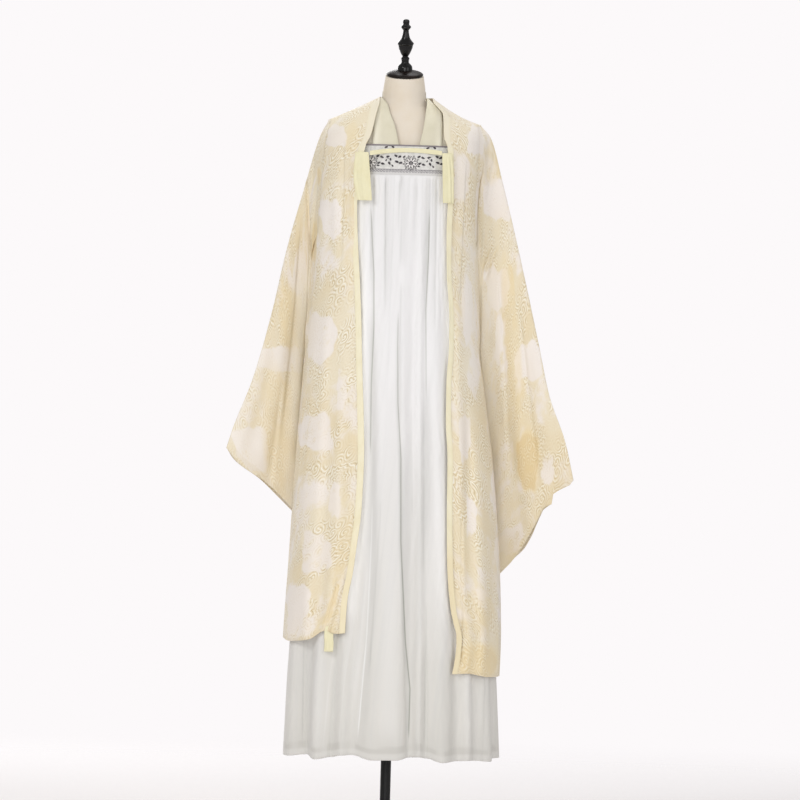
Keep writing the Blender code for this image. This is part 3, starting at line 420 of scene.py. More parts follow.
# -------------------------------------------------------------- inner top
def inner_point(side, share, down, way):
    """share 0 at the opening or the back's middle, 1 at the outer edge."""
    (nx, nz), (ax, az) = INNER_RIDGE
    edge = read(COLLAR, "out_left" if side < 0 else "out_right", 1.5) - 0.006
    low = INNER_LOW
    arm = 1.385
    split = 0.5

    def height(start):
        if down <= split:
            return mix(start, arm, down / split)
        return mix(arm, low, (down - split) / (1 - split))
    z_outer = height(az)
    outer = read(INNER_SIDE, "half", z_outer)
    if way == "front":
        start_x, start_z = mix(nx, ax, share), mix(nz, az, share)
        z = height(start_z)
        x = mix(mix(nx, edge, step(down / 0.25)), mix(ax, outer, step(down / 0.3)), share)
        start_y = 0.0
    else:
        start_x = mix(GAP / 2, ax, share)
        if start_x < nx:
            start_y = 0.060 * math.sqrt(max(0, 1 - (start_x / nx) ** 2))
            start_z = nz
        else:
            start_y, start_z = 0.0, mix(nz, az, (start_x - nx) / (ax - nx))
        z = height(start_z)
        x = mix(GAP / 2, mix(ax, outer, step(down / 0.3)), share)
    grown = rise((start_z - z) / 0.065)
    half = read(INNER_SIDE, "half", z) + 0.0015
    depth = read(INNER_DEPTH, way, z)
    open_y = 0.008 * math.sin(math.pi * min(down / split, 1.0)) if down < split else 0.0
    y = open_y + (depth - open_y) * oval(x, half, 1.0) if x < outer - 1e-5 else open_y
    y = mix(start_y, y, grown)
    y = max(y, form_depth(x, z, way) + 0.0035)
    if share > 0.999:
        y = max(open_y, form_depth(x, z, way) + 0.0025) if down < split else 0.0
    return Vector((side * x, -y if way == "front" else y, z))


def collar_point(side, share, z):
    """On the collar of the inner top: share 0 at its inner long edge."""
    tag = "left" if side < 0 else "right"
    x = mix(read(COLLAR, "in_" + tag, z), read(COLLAR, "out_" + tag, z), share)
    grown = rise((COLLAR[1][0] - z) / 0.075)
    half = read(INNER_SIDE, "half", min(z, 1.5)) + 0.0015
    y = max(oval(x, half, read(INNER_DEPTH, "front", z)) * grown,
            form_depth(x, z, "front") + 0.0035)
    return Vector((side * x, -y - 0.0036, z))


# ------------------------------------------------------------- outer robe
def tag_of(side):
    return "left" if side < 0 else "right"


def sleeve_full(u):
    """Fullness of the sleeve, front layer to back layer."""
    if u < 0.12:
        return mix(MOUTH, SLEEVE_NARROW, step(u / 0.12))
    return mix(mix(SLEEVE_NARROW, SLEEVE_FULL, step((u - 0.12) / 0.45)),
               SLEEVE_CUFF_FULL, step((u - 0.5) / 0.5))


def sleeve_frame(side, u, v):
    """Middle of the sleeve: u from armhole to cuff, v from arm fold to seam."""
    fold, cuff = SLEEVE_FOLD[side], SLEEVE_CUFF[side]
    top = along(fold, u)
    hole_top, cuff_low = along(fold, 0), along(cuff, 1)
    pit = Vector((read(ROBE_SIDE, tag_of(side), ARMPIT), 0.0, ARMPIT))
    z = mix(ARMPIT, hole_top.z, 1 - v)
    hole = Vector((read(ROBE_SIDE, tag_of(side), z), 0.0, z))
    # the underarm seam winds round the outside of the body to its back
    z = mix(ARMPIT, cuff_low.z, u)
    clear = SLEEVE_SEAM + SLEEVE_CLEAR * step(u * 2)
    half = read(ROBE_SIDE, tag_of(side), z) + clear
    back = read(ROBE_DEPTH, "back", z) + clear
    end_half = read(ROBE_SIDE, tag_of(side), cuff_low.z) + SLEEVE_CLEAR
    turn = math.acos((cuff_low.x / end_half) ** (ROUND / 2)) * u
    low = Vector((half * math.cos(turn) ** (2 / ROUND),
                  back * math.sin(turn) ** (2 / ROUND), z))
    low = low.lerp(cuff_low, u ** 5)
    end = along(cuff, v)
    corner = (hole_top * (1 - u) * (1 - v) + along(fold, 1) * u * (1 - v)
              + pit * (1 - u) * v + cuff_low * u * v)
    p = top * (1 - v) + low * v + hole * (1 - u) + end * u - corner
    # push the point out of the body's oval, with room for the inner layer
    room = mix(0.0012, SLEEVE_CLEAR, step(u / 0.22))
    room += sleeve_full(u) * math.sqrt(max(v * (1 - v), 0)) * step(u / 0.1)
    half = read(ROBE_SIDE, tag_of(side), p.z) + room
    depth = read(ROBE_DEPTH, "back" if p.y > 0 else "front", p.z) + room
    inside = (max(p.x, 0.01) / half) ** ROUND + (abs(p.y) / depth) ** ROUND
    if inside < 1:
        grow = inside ** (-1 / ROUND)
        p = Vector((p.x * grow, p.y * grow, p.z))
    return p


def sleeve_point(side, u, turn):
    """turn goes round the sleeve in radians: 0 on the arm fold, front first."""
    v = (1 - math.cos(turn)) / 2
    p = sleeve_frame(side, u, v)
    # the two layers part across the line from the arm fold to the seam
    line = sleeve_frame(side, u, 1) - sleeve_frame(side, u, 0)
    across = Vector((line.y, -line.x, 0)) * (-1 if line.x > 0 else 1)
    across = across.normalized() if across.length > 1e-6 else Vector((0, -1, 0))
    if across.y > 0:
        across = -across
    n = Vector((0, -1, 0)).lerp(across, step(u / 0.5)).normalized()
    full = sleeve_full(u)
    p = p + n * (full / 2 * math.sin(turn))
    p.x += SLEEVE_SEAM * (1 - step(u / 0.08))
    return Vector((side * p.x, p.y, p.z))


def robe_outer(side, z):
    """Outer edge of the body panels: armhole lips, then the side seam."""
    top = RIDGE[side][1][1]
    x = read(ROBE_SIDE, tag_of(side), min(z, top))
    if z >= ARMPIT:
        v = min(max((top - z) / (top - ARMPIT), 0), 1)
        return x, MOUTH * math.sqrt(max(v * (1 - v), 0))
    return x, 0.0


def robe_point(side, share, down, way):
    """A point on the inside of the robe's body panel.

    Front: share 0 at the front edge, 1 at the outer edge. Back: share is the
    part of the outer edge's half width. down is 0 on the shoulder or neck
    line, ARM_SPLIT at the armpit's height and 1 at the hem.
    """
    (nx, nz), (ax, az) = RIDGE[side]
    if way == "front":
        start_x, start_y, start_z = mix(nx, ax, share), 0.0, mix(nz, az, share)
        start_z -= RIDGE_SAG[side] * math.sin(math.pi * share)
        hem = read(ROBE_HEM, tag_of(side), share)
    else:
        start_x, start_y, start_z = max(share * ax, GAP / 2), 0.0, 0.0
        if start_x < nx:
            start_y = NECKLINE_BACK * math.sqrt(max(0.0, 1 - (start_x / nx) ** 2))
            start_z = nz
        else:
            part = (start_x - nx) / (ax - nx)
            start_z = mix(nz, az, part) - RIDGE_SAG[side] * math.sin(math.pi * part)
        hem = read(ROBE_HEM, "back_" + tag_of(side), share)

    def height(start, hem_z):
        if down <= ARM_SPLIT:
            return mix(start, ARMPIT, down / ARM_SPLIT)
        return mix(ARMPIT, hem_z, (down - ARM_SPLIT) / (1 - ARM_SPLIT))
    z = height(start_z, hem)
    z_out = height(az, read(ROBE_HEM, tag_of(side), 1.0))
    out_x, out_y = robe_outer(side, z_out)
    if way == "front":
        z_edge = height(nz, read(ROBE_HEM, tag_of(side), 0.0))
        x = mix(read(ROBE_EDGE, tag_of(side), z_edge), out_x, share)
    else:
        x = max(share * out_x, GAP / 2)
    x = mix(start_x, x, step(down / 0.03))
    if share >= 0.9999:
        y = out_y
    else:
        half = out_x
        y = out_y + (read(ROBE_DEPTH, way, z) - out_y) * oval(x, half, 1.0)
        tall = mix(SHOULDER_H_NECK, SHOULDER_H_ARM, min(start_x / ax, 1))
        y = mix(start_y, y, rise((start_z - z) / tall))
        if z > 1.40:
            y = max(y, form_depth(x, z, way) + 0.0085 * rise((start_z - z) / 0.02))
        if way == "front":
            for s, at, wide, out, z0, z1 in ROBE_FOLDS[1:]:
                if s == side and z < z0 and abs(share - at) < wide:
                    y += out * step((z0 - z) / (z0 - z1)) * math.cos(
                        math.pi / 2 * (share - at) / wide) ** 2
    return Vector((side * x, -y if way == "front" else y, z))


def robe_moved(side, share, down, way, out):
    """A point moved out from the robe's body along its own normal."""
    e = 0.01
    p = robe_point(side, share, down, way)
    a = robe_point(side, min(share + e, 0.99), down, way) - robe_point(side, max(share - e, 0), down, way)
    b = robe_point(side, share, min(down + e, 1), way) - robe_point(side, share, max(down - e, 0), way)
    n = a.cross(b).normalized()
    if (n.y > 0) == (way == "front"):
        n = -n
    return p + n * out


# ---------------------------------------------------- ribbon and its ends
TABS = {
    -1: (("z", "inner", "outer"), (1.4380, 0.0727, 0.1010), (1.3880, 0.0680, 0.1040),
         (1.3340, 0.0626, 0.0935)),
    1: (("z", "inner", "outer"), (1.4400, 0.0850, 0.1060), (1.3860, 0.0872, 0.1110),
        (1.3330, 0.0892, 0.1120)),
}


def robe_front_y(side, x, z):
    """Depth of the robe's front oval, also where the front edge stops."""
    half = robe_outer(side, z)[0]
    lip = robe_outer(side, z)[1]
    return lip + (read(ROBE_DEPTH, "front", z) - lip) * oval(x, half, 1.0)


# ------------------------------------------------------- fine cloth grids
def finer(a, count, loop=False):
    """A grid refined along its first axis by a smooth curve through its rows."""
    have = a.shape[0]
    if loop:
        t = np.arange(count) * (have / count)
        i = np.floor(t).astype(int)
        p0, p1, p2, p3 = (a[(i + k) % have] for k in (-1, 0, 1, 2))
    else:
        t = np.linspace(0, have - 1, count)
        i = np.minimum(np.floor(t).astype(int), have - 2)
        wide = np.concatenate([2 * a[:1] - a[1:2], a, 2 * a[-1:] - a[-2:-1]])
        p0, p1, p2, p3 = (wide[i + k] for k in (0, 1, 2, 3))
    f = (t - i).reshape((-1,) + (1,) * (a.ndim - 1))
    return 0.5 * (2 * p1 + (p2 - p0) * f + (2 * p0 - 5 * p1 + 4 * p2 - p3) * f ** 2
                  + (3 * p1 - p0 - 3 * p2 + p3) * f ** 3)


def soft(t):
    t = np.clip(t, 0.0, 1.0)
    return t * t * (3 - 2 * t)


def spread(low, high, count, power=1.0):
    """Numbers from low to high, closer together at the start for power > 1."""
    return [low + (high - low) * (k / (count - 1)) ** power for k in range(count)]


class Cloth:
    """One sheet of cloth: a grid of points that is moved along its normals."""

    def __init__(self, rows, count_rows, count_columns, way, loop=False):
        a = np.array([[tuple(p) for p in row] for row in rows], dtype=float)
        a = finer(a, count_rows)
        self.p = finer(a.swapaxes(0, 1), count_columns, loop).swapaxes(0, 1).copy()
        self.way, self.loop, self.marks = way, loop, {}
        self.sign = 1.0
        n = self.normals()
        if way == "round":
            middle = self.p.mean(axis=1, keepdims=True)
            test = ((self.p - middle) * n).sum(-1).mean()
        else:
            test = n[..., 1].mean() * (-1 if way == "front" else 1)
        if test < 0:
            self.sign = -1.0

    def x(self):
        return self.p[..., 0]

    def z(self):
        return self.p[..., 2]

    def normals(self):
        down = np.gradient(self.p, axis=0)
        if self.loop:
            across = np.roll(self.p, -1, axis=1) - np.roll(self.p, 1, axis=1)
        else:
            across = np.gradient(self.p, axis=1)
        n = np.cross(across, down)
        size = np.linalg.norm(n, axis=-1, keepdims=True)
        return self.sign * n / np.maximum(size, 1e-12)

    def move(self, out):
        self.p += self.normals() * (np.zeros(self.p.shape[:2]) + out)[..., None]
        return self

    def mark(self, name, values):
        self.marks[name] = np.zeros(self.p.shape[:2]) + values

    def turn_up(self, rows=3, gap=0.0009):
        """The hem: the last rows folded up inside the sheet."""
        n = self.normals()
        last = self.p[-1:] - n[-1:] * gap / 2
        last[..., 2] -= gap / 2
        inner = [self.p[-1 - k:][:1] - n[-1 - k:][:1] * gap for k in range(rows)]
        self.p = np.concatenate([self.p, last] + inner)
        for name, v in self.marks.items():
            more = [v[-1:]] + [v[-1 - k:][:1] for k in range(rows)]
            self.marks[name] = np.concatenate([v] + more)
        return self

    def lengths(self):
        """Distances on the cloth from its first column and first row."""
        across = np.linalg.norm(np.diff(self.p, axis=1), axis=-1)
        u = np.concatenate([np.zeros((self.p.shape[0], 1)), np.cumsum(across, axis=1)], axis=1)
        down = np.linalg.norm(np.diff(self.p, axis=0), axis=-1)
        v = np.concatenate([np.zeros((1, self.p.shape[1])), np.cumsum(down, axis=0)], axis=0)
        return u, v


def cloth_piece(name, sheets, look, nodes=(), origin=None):
    """One object from one or more sheets; origin gives each sheet's place on
    the cloth as (u, v, sign of u, sign of v), for the pattern."""
    points, quads, maps, marks, start = [], [], [], {}, 0
    names = sorted({k for s in sheets for k in s.marks})
    for number, s in enumerate(sheets):
        rows, columns = s.p.shape[:2]
        u, v = s.lengths()
        du, dv, su, sv = (origin or {}).get(number, (0.0, 0.0, 1.0, 1.0))
        u, v = du + su * u, dv + sv * v
        index = start + np.arange(rows * columns).reshape(rows, columns)
        if s.loop:
            index = np.concatenate([index, index[:, :1]], axis=1)
            close = np.linalg.norm(s.p[:, -1] - s.p[:, 0], axis=-1)
            u = np.concatenate([u, u[:, -1:] + su * close[:, None]], axis=1)
            v = np.concatenate([v, v[:, :1]], axis=1)
        corners = [(slice(None, -1), slice(None, -1)), (slice(None, -1), slice(1, None)),
                   (slice(1, None), slice(1, None)), (slice(1, None), slice(None, -1))]
        if s.sign < 0:
            corners = corners[::-1]
        quads.append(np.stack([index[a, b].ravel() for a, b in corners], axis=1)[:, ::-1])
        maps.append(np.stack([np.stack([u[a, b].ravel(), v[a, b].ravel()], axis=1)
                              for a, b in corners], axis=1)[:, ::-1])
        points.append(s.p.reshape(-1, 3))
        for k in names:
            marks.setdefault(k, []).append(s.marks.get(k, np.zeros((rows, columns))).ravel())
        start += rows * columns
    points, quads = np.concatenate(points), np.concatenate(quads)
    maps = np.concatenate(maps)
    me = bpy.data.meshes.new(name)
    me.vertices.add(len(points))
    me.vertices.foreach_set("co", points.astype(np.float32).ravel())
    me.loops.add(quads.size)
    me.loops.foreach_set("vertex_index", quads.astype(np.int32).ravel())
    me.polygons.add(len(quads))
    me.polygons.foreach_set("loop_start", (np.arange(len(quads)) * 4).astype(np.int32))
    me.update(calc_edges=True)
    me.validate()
    layer = me.uv_layers.new(name="cloth")
    if len(me.loops) == quads.size:
        layer.uv.foreach_set("vector", maps.astype(np.float32).reshape(-1, 2).ravel())
    for k in names:
        me.attributes.new(k, "FLOAT", "POINT").data.foreach_set(
            "value", np.concatenate(marks[k]).astype(np.float32))
    me.shade_smooth()
    me.materials.append(look)
    piece = bpy.data.objects.new(name, me)
    bpy.context.scene.collection.objects.link(piece)
    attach(piece, "root")
    if nodes:
        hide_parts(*nodes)
    return piece


def solid_piece(name, points, faces, look, nodes=(), smooth=True, angle=35):
    me = bpy.data.meshes.new(name)
    me.from_pydata([tuple(p) for p in points], [], faces)
    me.validate()
    me.update()
    if smooth:
        me.shade_smooth()
        me.set_sharp_from_angle(angle=math.radians(angle))
    me.materials.append(look)
    piece = bpy.data.objects.new(name, me)
    bpy.context.scene.collection.objects.link(piece)
    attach(piece, "root")
    if nodes:
        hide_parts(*nodes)
    return piece


def turned(name, profile, look, nodes, segments=72, place=None):
    """A turned solid; the profile's rows are (radius, height)."""
    points, faces, rings = [], [], []
    for radius, height in profile:
        if radius < 1e-6:
            rings.append([len(points)])
            points.append(Vector((0, 0, height)))
        else:
            rings.append(list(range(len(points), len(points) + segments)))
            points += [Vector((radius * math.cos(2 * math.pi * k / segments),
                               radius * math.sin(2 * math.pi * k / segments), height))
                       for k in range(segments)]
    for a, b in zip(rings, rings[1:]):
        for k in range(segments):
            j = (k + 1) % segments
            if len(a) == 1:
                faces.append([a[0], b[j], b[k]])
            elif len(b) == 1:
                faces.append([a[k], a[j], b[0]])
            else:
                faces.append([a[k], a[j], b[j], b[k]])
    if place is not None:
        points = [place @ p for p in points]
    return solid_piece(name, points, faces, look, nodes)


def profile_curve(rows, steps=5):
    """A smooth curve through the rows of a turned profile."""
    a = finer(np.array(rows, dtype=float), (len(rows) - 1) * steps + 1)
    return [(max(r, 0.0), h) for r, h in a]


# ----------------------------------------------------------------- creases
def crease_lines(table, x, z):
    """Height of a table's creases at x and z. Each runs from (x0, z0) down to
    (x1, z1); w0 and w1 are its half widths, height its size (negative is a
    trough), top and low the shares of its length over which it fades, and
    kind "soft" or "fold", a fold being steep on one side: that of its w."""
    names, total = table[0], np.zeros(np.shape(x))
    for row in table[1:]:
        c = dict(zip(names, row))
        t = (c["z0"] - z) / (c["z0"] - c["z1"])
        middle = c["x0"] + (c["x1"] - c["x0"]) * t + c.get("bow", 0.0) * 4 * t * (1 - t)
        wide = abs(c["w0"]) + (abs(c["w1"]) - abs(c["w0"])) * np.clip(t, 0, 1)
        size = c["height"] * soft(t / max(c["top"], 1e-6)) * soft((1 - t) / max(c["low"], 1e-6))
        if c["low"] == 0:
            size = c["height"] * soft(t / max(c["top"], 1e-6))
        s = (x - middle) / wide * (1 if c["w0"] > 0 else -1)
        if c["kind"] == "soft":
            shape = np.exp(-s * s)
        else:
            shape = np.where(s > 0, np.exp(-s * 0.8), np.exp(-(s * 4.5) ** 2))
        total = total + size * shape
    return total


def patches(table, x, z, flat=False):
    """Soft ellipses (x, z, half width, half height, lean, strength), or with
    flat set, patches with straighter and sharper sides."""
    total = np.zeros(np.shape(x))
    for px, pz, wide, tall, lean, strength in table[1:]:
        dx, dz = x - px, z - pz
        dx = dx - lean * dz
        if flat:
            turn = np.arctan2(dz / tall, dx / wide)
            r = (np.abs(dx / wide) ** 3.2 + np.abs(dz / tall) ** 3.2) ** (1 / 3.2)
            r = r * (1 + 0.09 * np.sin(3 * turn + 400 * px) + 0.07 * np.sin(7 * turn + 900 * pz))
            total = np.maximum(total, strength * soft((1.12 - r) / 0.24))
            continue
        r = np.sqrt((dx / wide) ** 2 + (dz / tall) ** 2)
        total = np.maximum(total, strength * soft((1.25 - r) / 0.5))
    return total


def rumple(x, z, seed, size, long=0.16, wide=0.05):
    """Small uneven waves, longer down the cloth than across."""
    rng = np.random.default_rng(seed)
    total = np.zeros(np.shape(x))
    for k in range(9):
        a, b = rng.uniform(0.6, 1.8, 2)
        turn, lean = rng.uniform(0, 2 * math.pi), rng.uniform(-0.35, 0.35)
        total += np.sin(2 * math.pi * ((x + lean * z) / (wide * a)) + turn) * np.sin(
            2 * math.pi * z / (long * b) + rng.uniform(0, 6.3)) / 9
    return size * total



def thick(piece, wall):
    """Gives a small piece of cloth its wall, on both sides of its sheet."""
    m = piece.modifiers.new("wall", "SOLIDIFY")
    m.thickness, m.offset = wall, 0.0


# ------------------------------------------------------------------- looks
def srgb(r, g, b):
    def one(v):
        v /= 255.0
        return v / 12.92 if v <= 0.04045 else ((v + 0.055) / 1.055) ** 2.4
    return (one(r), one(g), one(b), 1.0)


class Look:
    """One material and short ways to add its nodes."""

    def __init__(self, name, colour, rough, **sockets):
        self.material = bpy.data.materials.new(name)
        self.material.use_nodes = True
        self.tree = self.material.node_tree
        self.shader = self.tree.nodes["Principled BSDF"]
        self.shader.inputs["Base Color"].default_value = colour
        self.shader.inputs["Roughness"].default_value = rough
        for key, value in sockets.items():
            self.shader.inputs[key.replace("_", " ")].default_value = value
        self.material.diffuse_color = colour

    def set(self, socket, value):
        if hasattr(value, "links"):
            self.tree.links.new(value, socket)
        else:
            socket.default_value = value

    def feed(self, name, value):
        self.set(self.shader.inputs[name], value)

    def node(self, kind, out=0, options=None, **inputs):
        n = self.tree.nodes.new(kind)
        for key, value in (options or {}).items():
            setattr(n, key, value)
        for key, value in inputs.items():
            self.set(n.inputs[key.replace("_", " ")], value)
        return n.outputs[out]

    def math(self, do, a, b=0.0, c=0.0):
        n = self.tree.nodes.new("ShaderNodeMath")
        n.operation = do
        for k, value in enumerate((a, b, c)):
            self.set(n.inputs[k], value)
        return n.outputs[0]

    def vector(self, do, a, b=(0, 0, 0), scale=1.0, out=0):
        n = self.tree.nodes.new("ShaderNodeVectorMath")
        n.operation = do
        self.set(n.inputs[0], a)
        self.set(n.inputs[1], b)
        if do == "SCALE":
            self.set(n.inputs["Scale"], scale)
        return n.outputs[out]

    def ramp(self, value, low, high, to_low=0.0, to_high=1.0):
        n = self.tree.nodes.new("ShaderNodeMapRange")
        n.interpolation_type = "SMOOTHSTEP"
        for k, item in enumerate((value, low, high, to_low, to_high)):
            self.set(n.inputs[k], item)
        return n.outputs[0]

    def blend(self, share, a, b):
        n = self.tree.nodes.new("ShaderNodeMix")
        n.data_type = "RGBA"
        self.set(n.inputs[0], share)
        self.set(n.inputs[6], a)
        self.set(n.inputs[7], b)
        return n.outputs[2]

    def lerp(self, share, a, b):
        n = self.tree.nodes.new("ShaderNodeMix")
        n.data_type = "FLOAT"
        self.set(n.inputs[0], share)
        self.set(n.inputs[2], a)
        self.set(n.inputs[3], b)
        return n.outputs[0]

    def noise(self, place, scale, detail=2.0, rough=0.5, out=0, dims="3D"):
        return self.node("ShaderNodeTexNoise", out, {"noise_dimensions": dims}, Vector=place,
                         Scale=scale, Detail=detail, Roughness=rough)

    def mark(self, name):
        n = self.tree.nodes.new("ShaderNodeAttribute")
        n.attribute_name = name
        return n.outputs["Fac"]

    def place(self):
        return self.node("ShaderNodeTexCoord", 3)

    def map(self):
        n = self.tree.nodes.new("ShaderNodeUVMap")
        n.uv_map = "cloth"
        return n.outputs[0]

    def bump(self, height, far, strength=1.0):
        return self.node("ShaderNodeBump", 0, None, Height=height, Distance=far, Strength=strength)

    def weave(self, place, pitch):
        """Threads over and under, as a height from 0 to 1."""
        x, y = (self.node("ShaderNodeSeparateXYZ", k, None, Vector=place) for k in (0, 1))
        turn = 2 * math.pi / pitch
        a = self.math("SINE", self.math("MULTIPLY", x, turn))
        b = self.math("SINE", self.math("MULTIPLY", y, turn))
        return self.math("MULTIPLY_ADD", self.math("MULTIPLY", a, b), 0.5, 0.5)


def organza():
    """Sheer cream cloth with broken clusters of fine line blossoms and curls."""
    k = Look("robe_sheer", srgb(232, 218, 184), 0.62, Sheen_Weight=0.25, Sheen_Roughness=0.4,
             Specular_IOR_Level=0.25)
    flat = k.map()
    shake = k.vector("SCALE", k.vector("SUBTRACT", k.noise(flat, 22.0, 3.0, out=1),
                                       (0.5, 0.5, 0.5)), scale=0.020)
    flat2 = k.vector("ADD", flat, shake)
    # blossoms: scalloped rings round the middle of each large cell
    cell = k.tree.nodes.new("ShaderNodeTexVoronoi")
    cell.voronoi_dimensions = "2D"
    k.set(cell.inputs["Vector"], flat2)
    cell.inputs["Scale"].default_value = 12.0
    cell.inputs["Randomness"].default_value = 0.9
    away = k.vector("SUBTRACT", flat2, cell.outputs["Position"])
    far = k.vector("LENGTH", away, out=1)
    ax, ay = (k.node("ShaderNodeSeparateXYZ", j, None, Vector=away) for j in (0, 1))
    angle = k.math("ARCTAN2", ay, ax)
    own = k.node("ShaderNodeSeparateColor", 0, None, Color=cell.outputs["Color"])
    own2 = k.node("ShaderNodeSeparateColor", 1, None, Color=cell.outputs["Color"])
    ring = k.math("DIVIDE", far, 0.0076)
    step_ring = k.math("FLOOR", ring)
    turn = k.math("ADD", k.math("MULTIPLY", own, 6.3), k.math("MULTIPLY", step_ring, 0.55))
    petals = k.math("COSINE", k.math("ADD", k.math("MULTIPLY", angle, 6.0), turn))
    q = k.math("ADD", ring, k.math("MULTIPLY", k.math("ABSOLUTE", petals), 0.55))
    rings = k.math("ABSOLUTE", k.math("SUBTRACT", k.math("FRACT", q), 0.5))
    # curls: small rings between them
    curl = k.tree.nodes.new("ShaderNodeTexVoronoi")
    curl.voronoi_dimensions = "2D"
    k.set(curl.inputs["Vector"], flat2)
    curl.inputs["Scale"].default_value = 38.0
    curl.inputs["Randomness"].default_value = 1.0
    c_away = k.vector("SUBTRACT", flat2, curl.outputs["Position"])
    c_far = k.vector("LENGTH", c_away, out=1)
    cx, cy = (k.node("ShaderNodeSeparateXYZ", j, None, Vector=c_away) for j in (0, 1))
    c_turn = k.math("DIVIDE", k.math("ARCTAN2", cy, cx), 2 * math.pi)
    spiral = k.math("ADD", k.math("DIVIDE", c_far, 0.0066), c_turn)
    curls = k.math("ABSOLUTE", k.math("SUBTRACT", k.math("FRACT", spiral), 0.5))
    bloom = k.ramp(far, 0.034, 0.038, 1.0, 0.0)
    bloom = k.math("MULTIPLY", bloom, k.ramp(own2, 0.25, 0.3))
    lines = k.lerp(bloom, curls, rings)
    dark = k.ramp(lines, 0.05, 0.17, 1.0, 0.0)
    light = k.ramp(lines, 0.28, 0.44)
    # the lines come and go in clusters, and break up within them
    group = k.noise(k.vector("ADD", flat, (3.1, 1.7, 0.0)), 17.0, 2.0, 0.5)
    broken = k.noise(flat, 95.0, 2.0, 0.6)
    inked = k.math("MULTIPLY", k.ramp(group, 0.40, 0.56, 0.12, 1.0), k.ramp(broken, 0.36, 0.56, 0.25, 1.0))
    # where the motifs lie thick, and where the ground is bare, with ragged soft rims
    cloud = k.noise(flat, 7.5, 4.0, 0.62)
    scallop = k.math("MULTIPLY", k.math("SUBTRACT", 0.5, curl.outputs["Distance"]), 0.16)
    ragged = k.math("MULTIPLY", k.math("SUBTRACT", k.noise(flat, 44.0, 3.0, 0.6), 0.5), 0.34)
    thick = k.math("ADD", k.math("ADD", k.math("ADD", cloud, scallop), ragged),
                   k.math("MULTIPLY", k.mark("bare"), -0.30))
    thick = k.ramp(thick, 0.30, 0.54)
    gold = k.mark("gold")
    hem = k.mark("hem")
    tone = k.noise(flat, 3.2, 2.0)
    ground = k.blend(k.ramp(tone, 0.35, 0.65), srgb(250, 243, 236), srgb(248, 239, 227))
    rich = k.blend(k.ramp(k.noise(flat, 6.0, 3.0, 0.6), 0.36, 0.64), srgb(239, 228, 202),
                   srgb(235, 220, 187))
    colour = k.blend(thick, ground, rich)
    # deeper gold where the cloth lies double, paler down the middle of a fold
    deep = k.math("MULTIPLY", gold, k.ramp(k.noise(flat, 30.0, 3.0, 0.6), 0.25, 0.6, 0.55, 0.85))
    colour = k.blend(deep, colour, srgb(239, 220, 175))
    colour = k.blend(k.math("MULTIPLY", k.ramp(gold, 0.74, 1.0), 0.65), colour, srgb(226, 203, 156))
    inked = k.math("MULTIPLY", inked, k.math("MULTIPLY_ADD", thick, 0.82, 0.18))
    inked = k.math("MULTIPLY", inked, k.math("MULTIPLY_ADD", gold, -0.55, 1.0))
    colour = k.blend(k.math("MULTIPLY", k.math("MULTIPLY", dark, inked), 0.78), colour,
                     srgb(203, 181, 134))
    colour = k.blend(k.math("MULTIPLY", k.math("MULTIPLY", light, inked), 0.80), colour,
                     srgb(255, 252, 241))
    colour = k.blend(k.math("MULTIPLY", hem, 0.30), colour, srgb(226, 210, 172))
    # painted shade: the hollow by the right armhole, the lines of the left wedge and the edge of a fold in the lower
    # front corner
    colour = k.blend(k.math("MULTIPLY", k.mark("seam"), 0.62), colour, srgb(176, 152, 98))
    # painted light where the cloth lies in shade beside the body and on the left sleeve
    colour = k.blend(k.math("MULTIPLY", k.mark("pale"), 0.62), colour, srgb(255, 251, 240))
    k.feed("Base Color", colour)
    solid = k.lerp(thick, 0.92, 0.96)
    solid = k.math("MAXIMUM", solid, k.math("MULTIPLY_ADD", gold, 0.06, 0.92))
    solid = k.math("MAXIMUM", solid, k.math("MULTIPLY", hem, 0.97))
    k.feed("Alpha", solid)
    threads = k.weave(flat, 0.0011)
    crinkle = k.noise(flat, 130.0, 3.0, 0.6)
    height = k.math("ADD", k.math("MULTIPLY", threads, 0.25),
                    k.math("ADD", k.math("MULTIPLY", crinkle, 0.8),
                           k.math("MULTIPLY", k.math("MULTIPLY", dark, inked), 0.9)))
    k.feed("Normal", k.bump(height, 0.0007, 0.6))
    return k.material


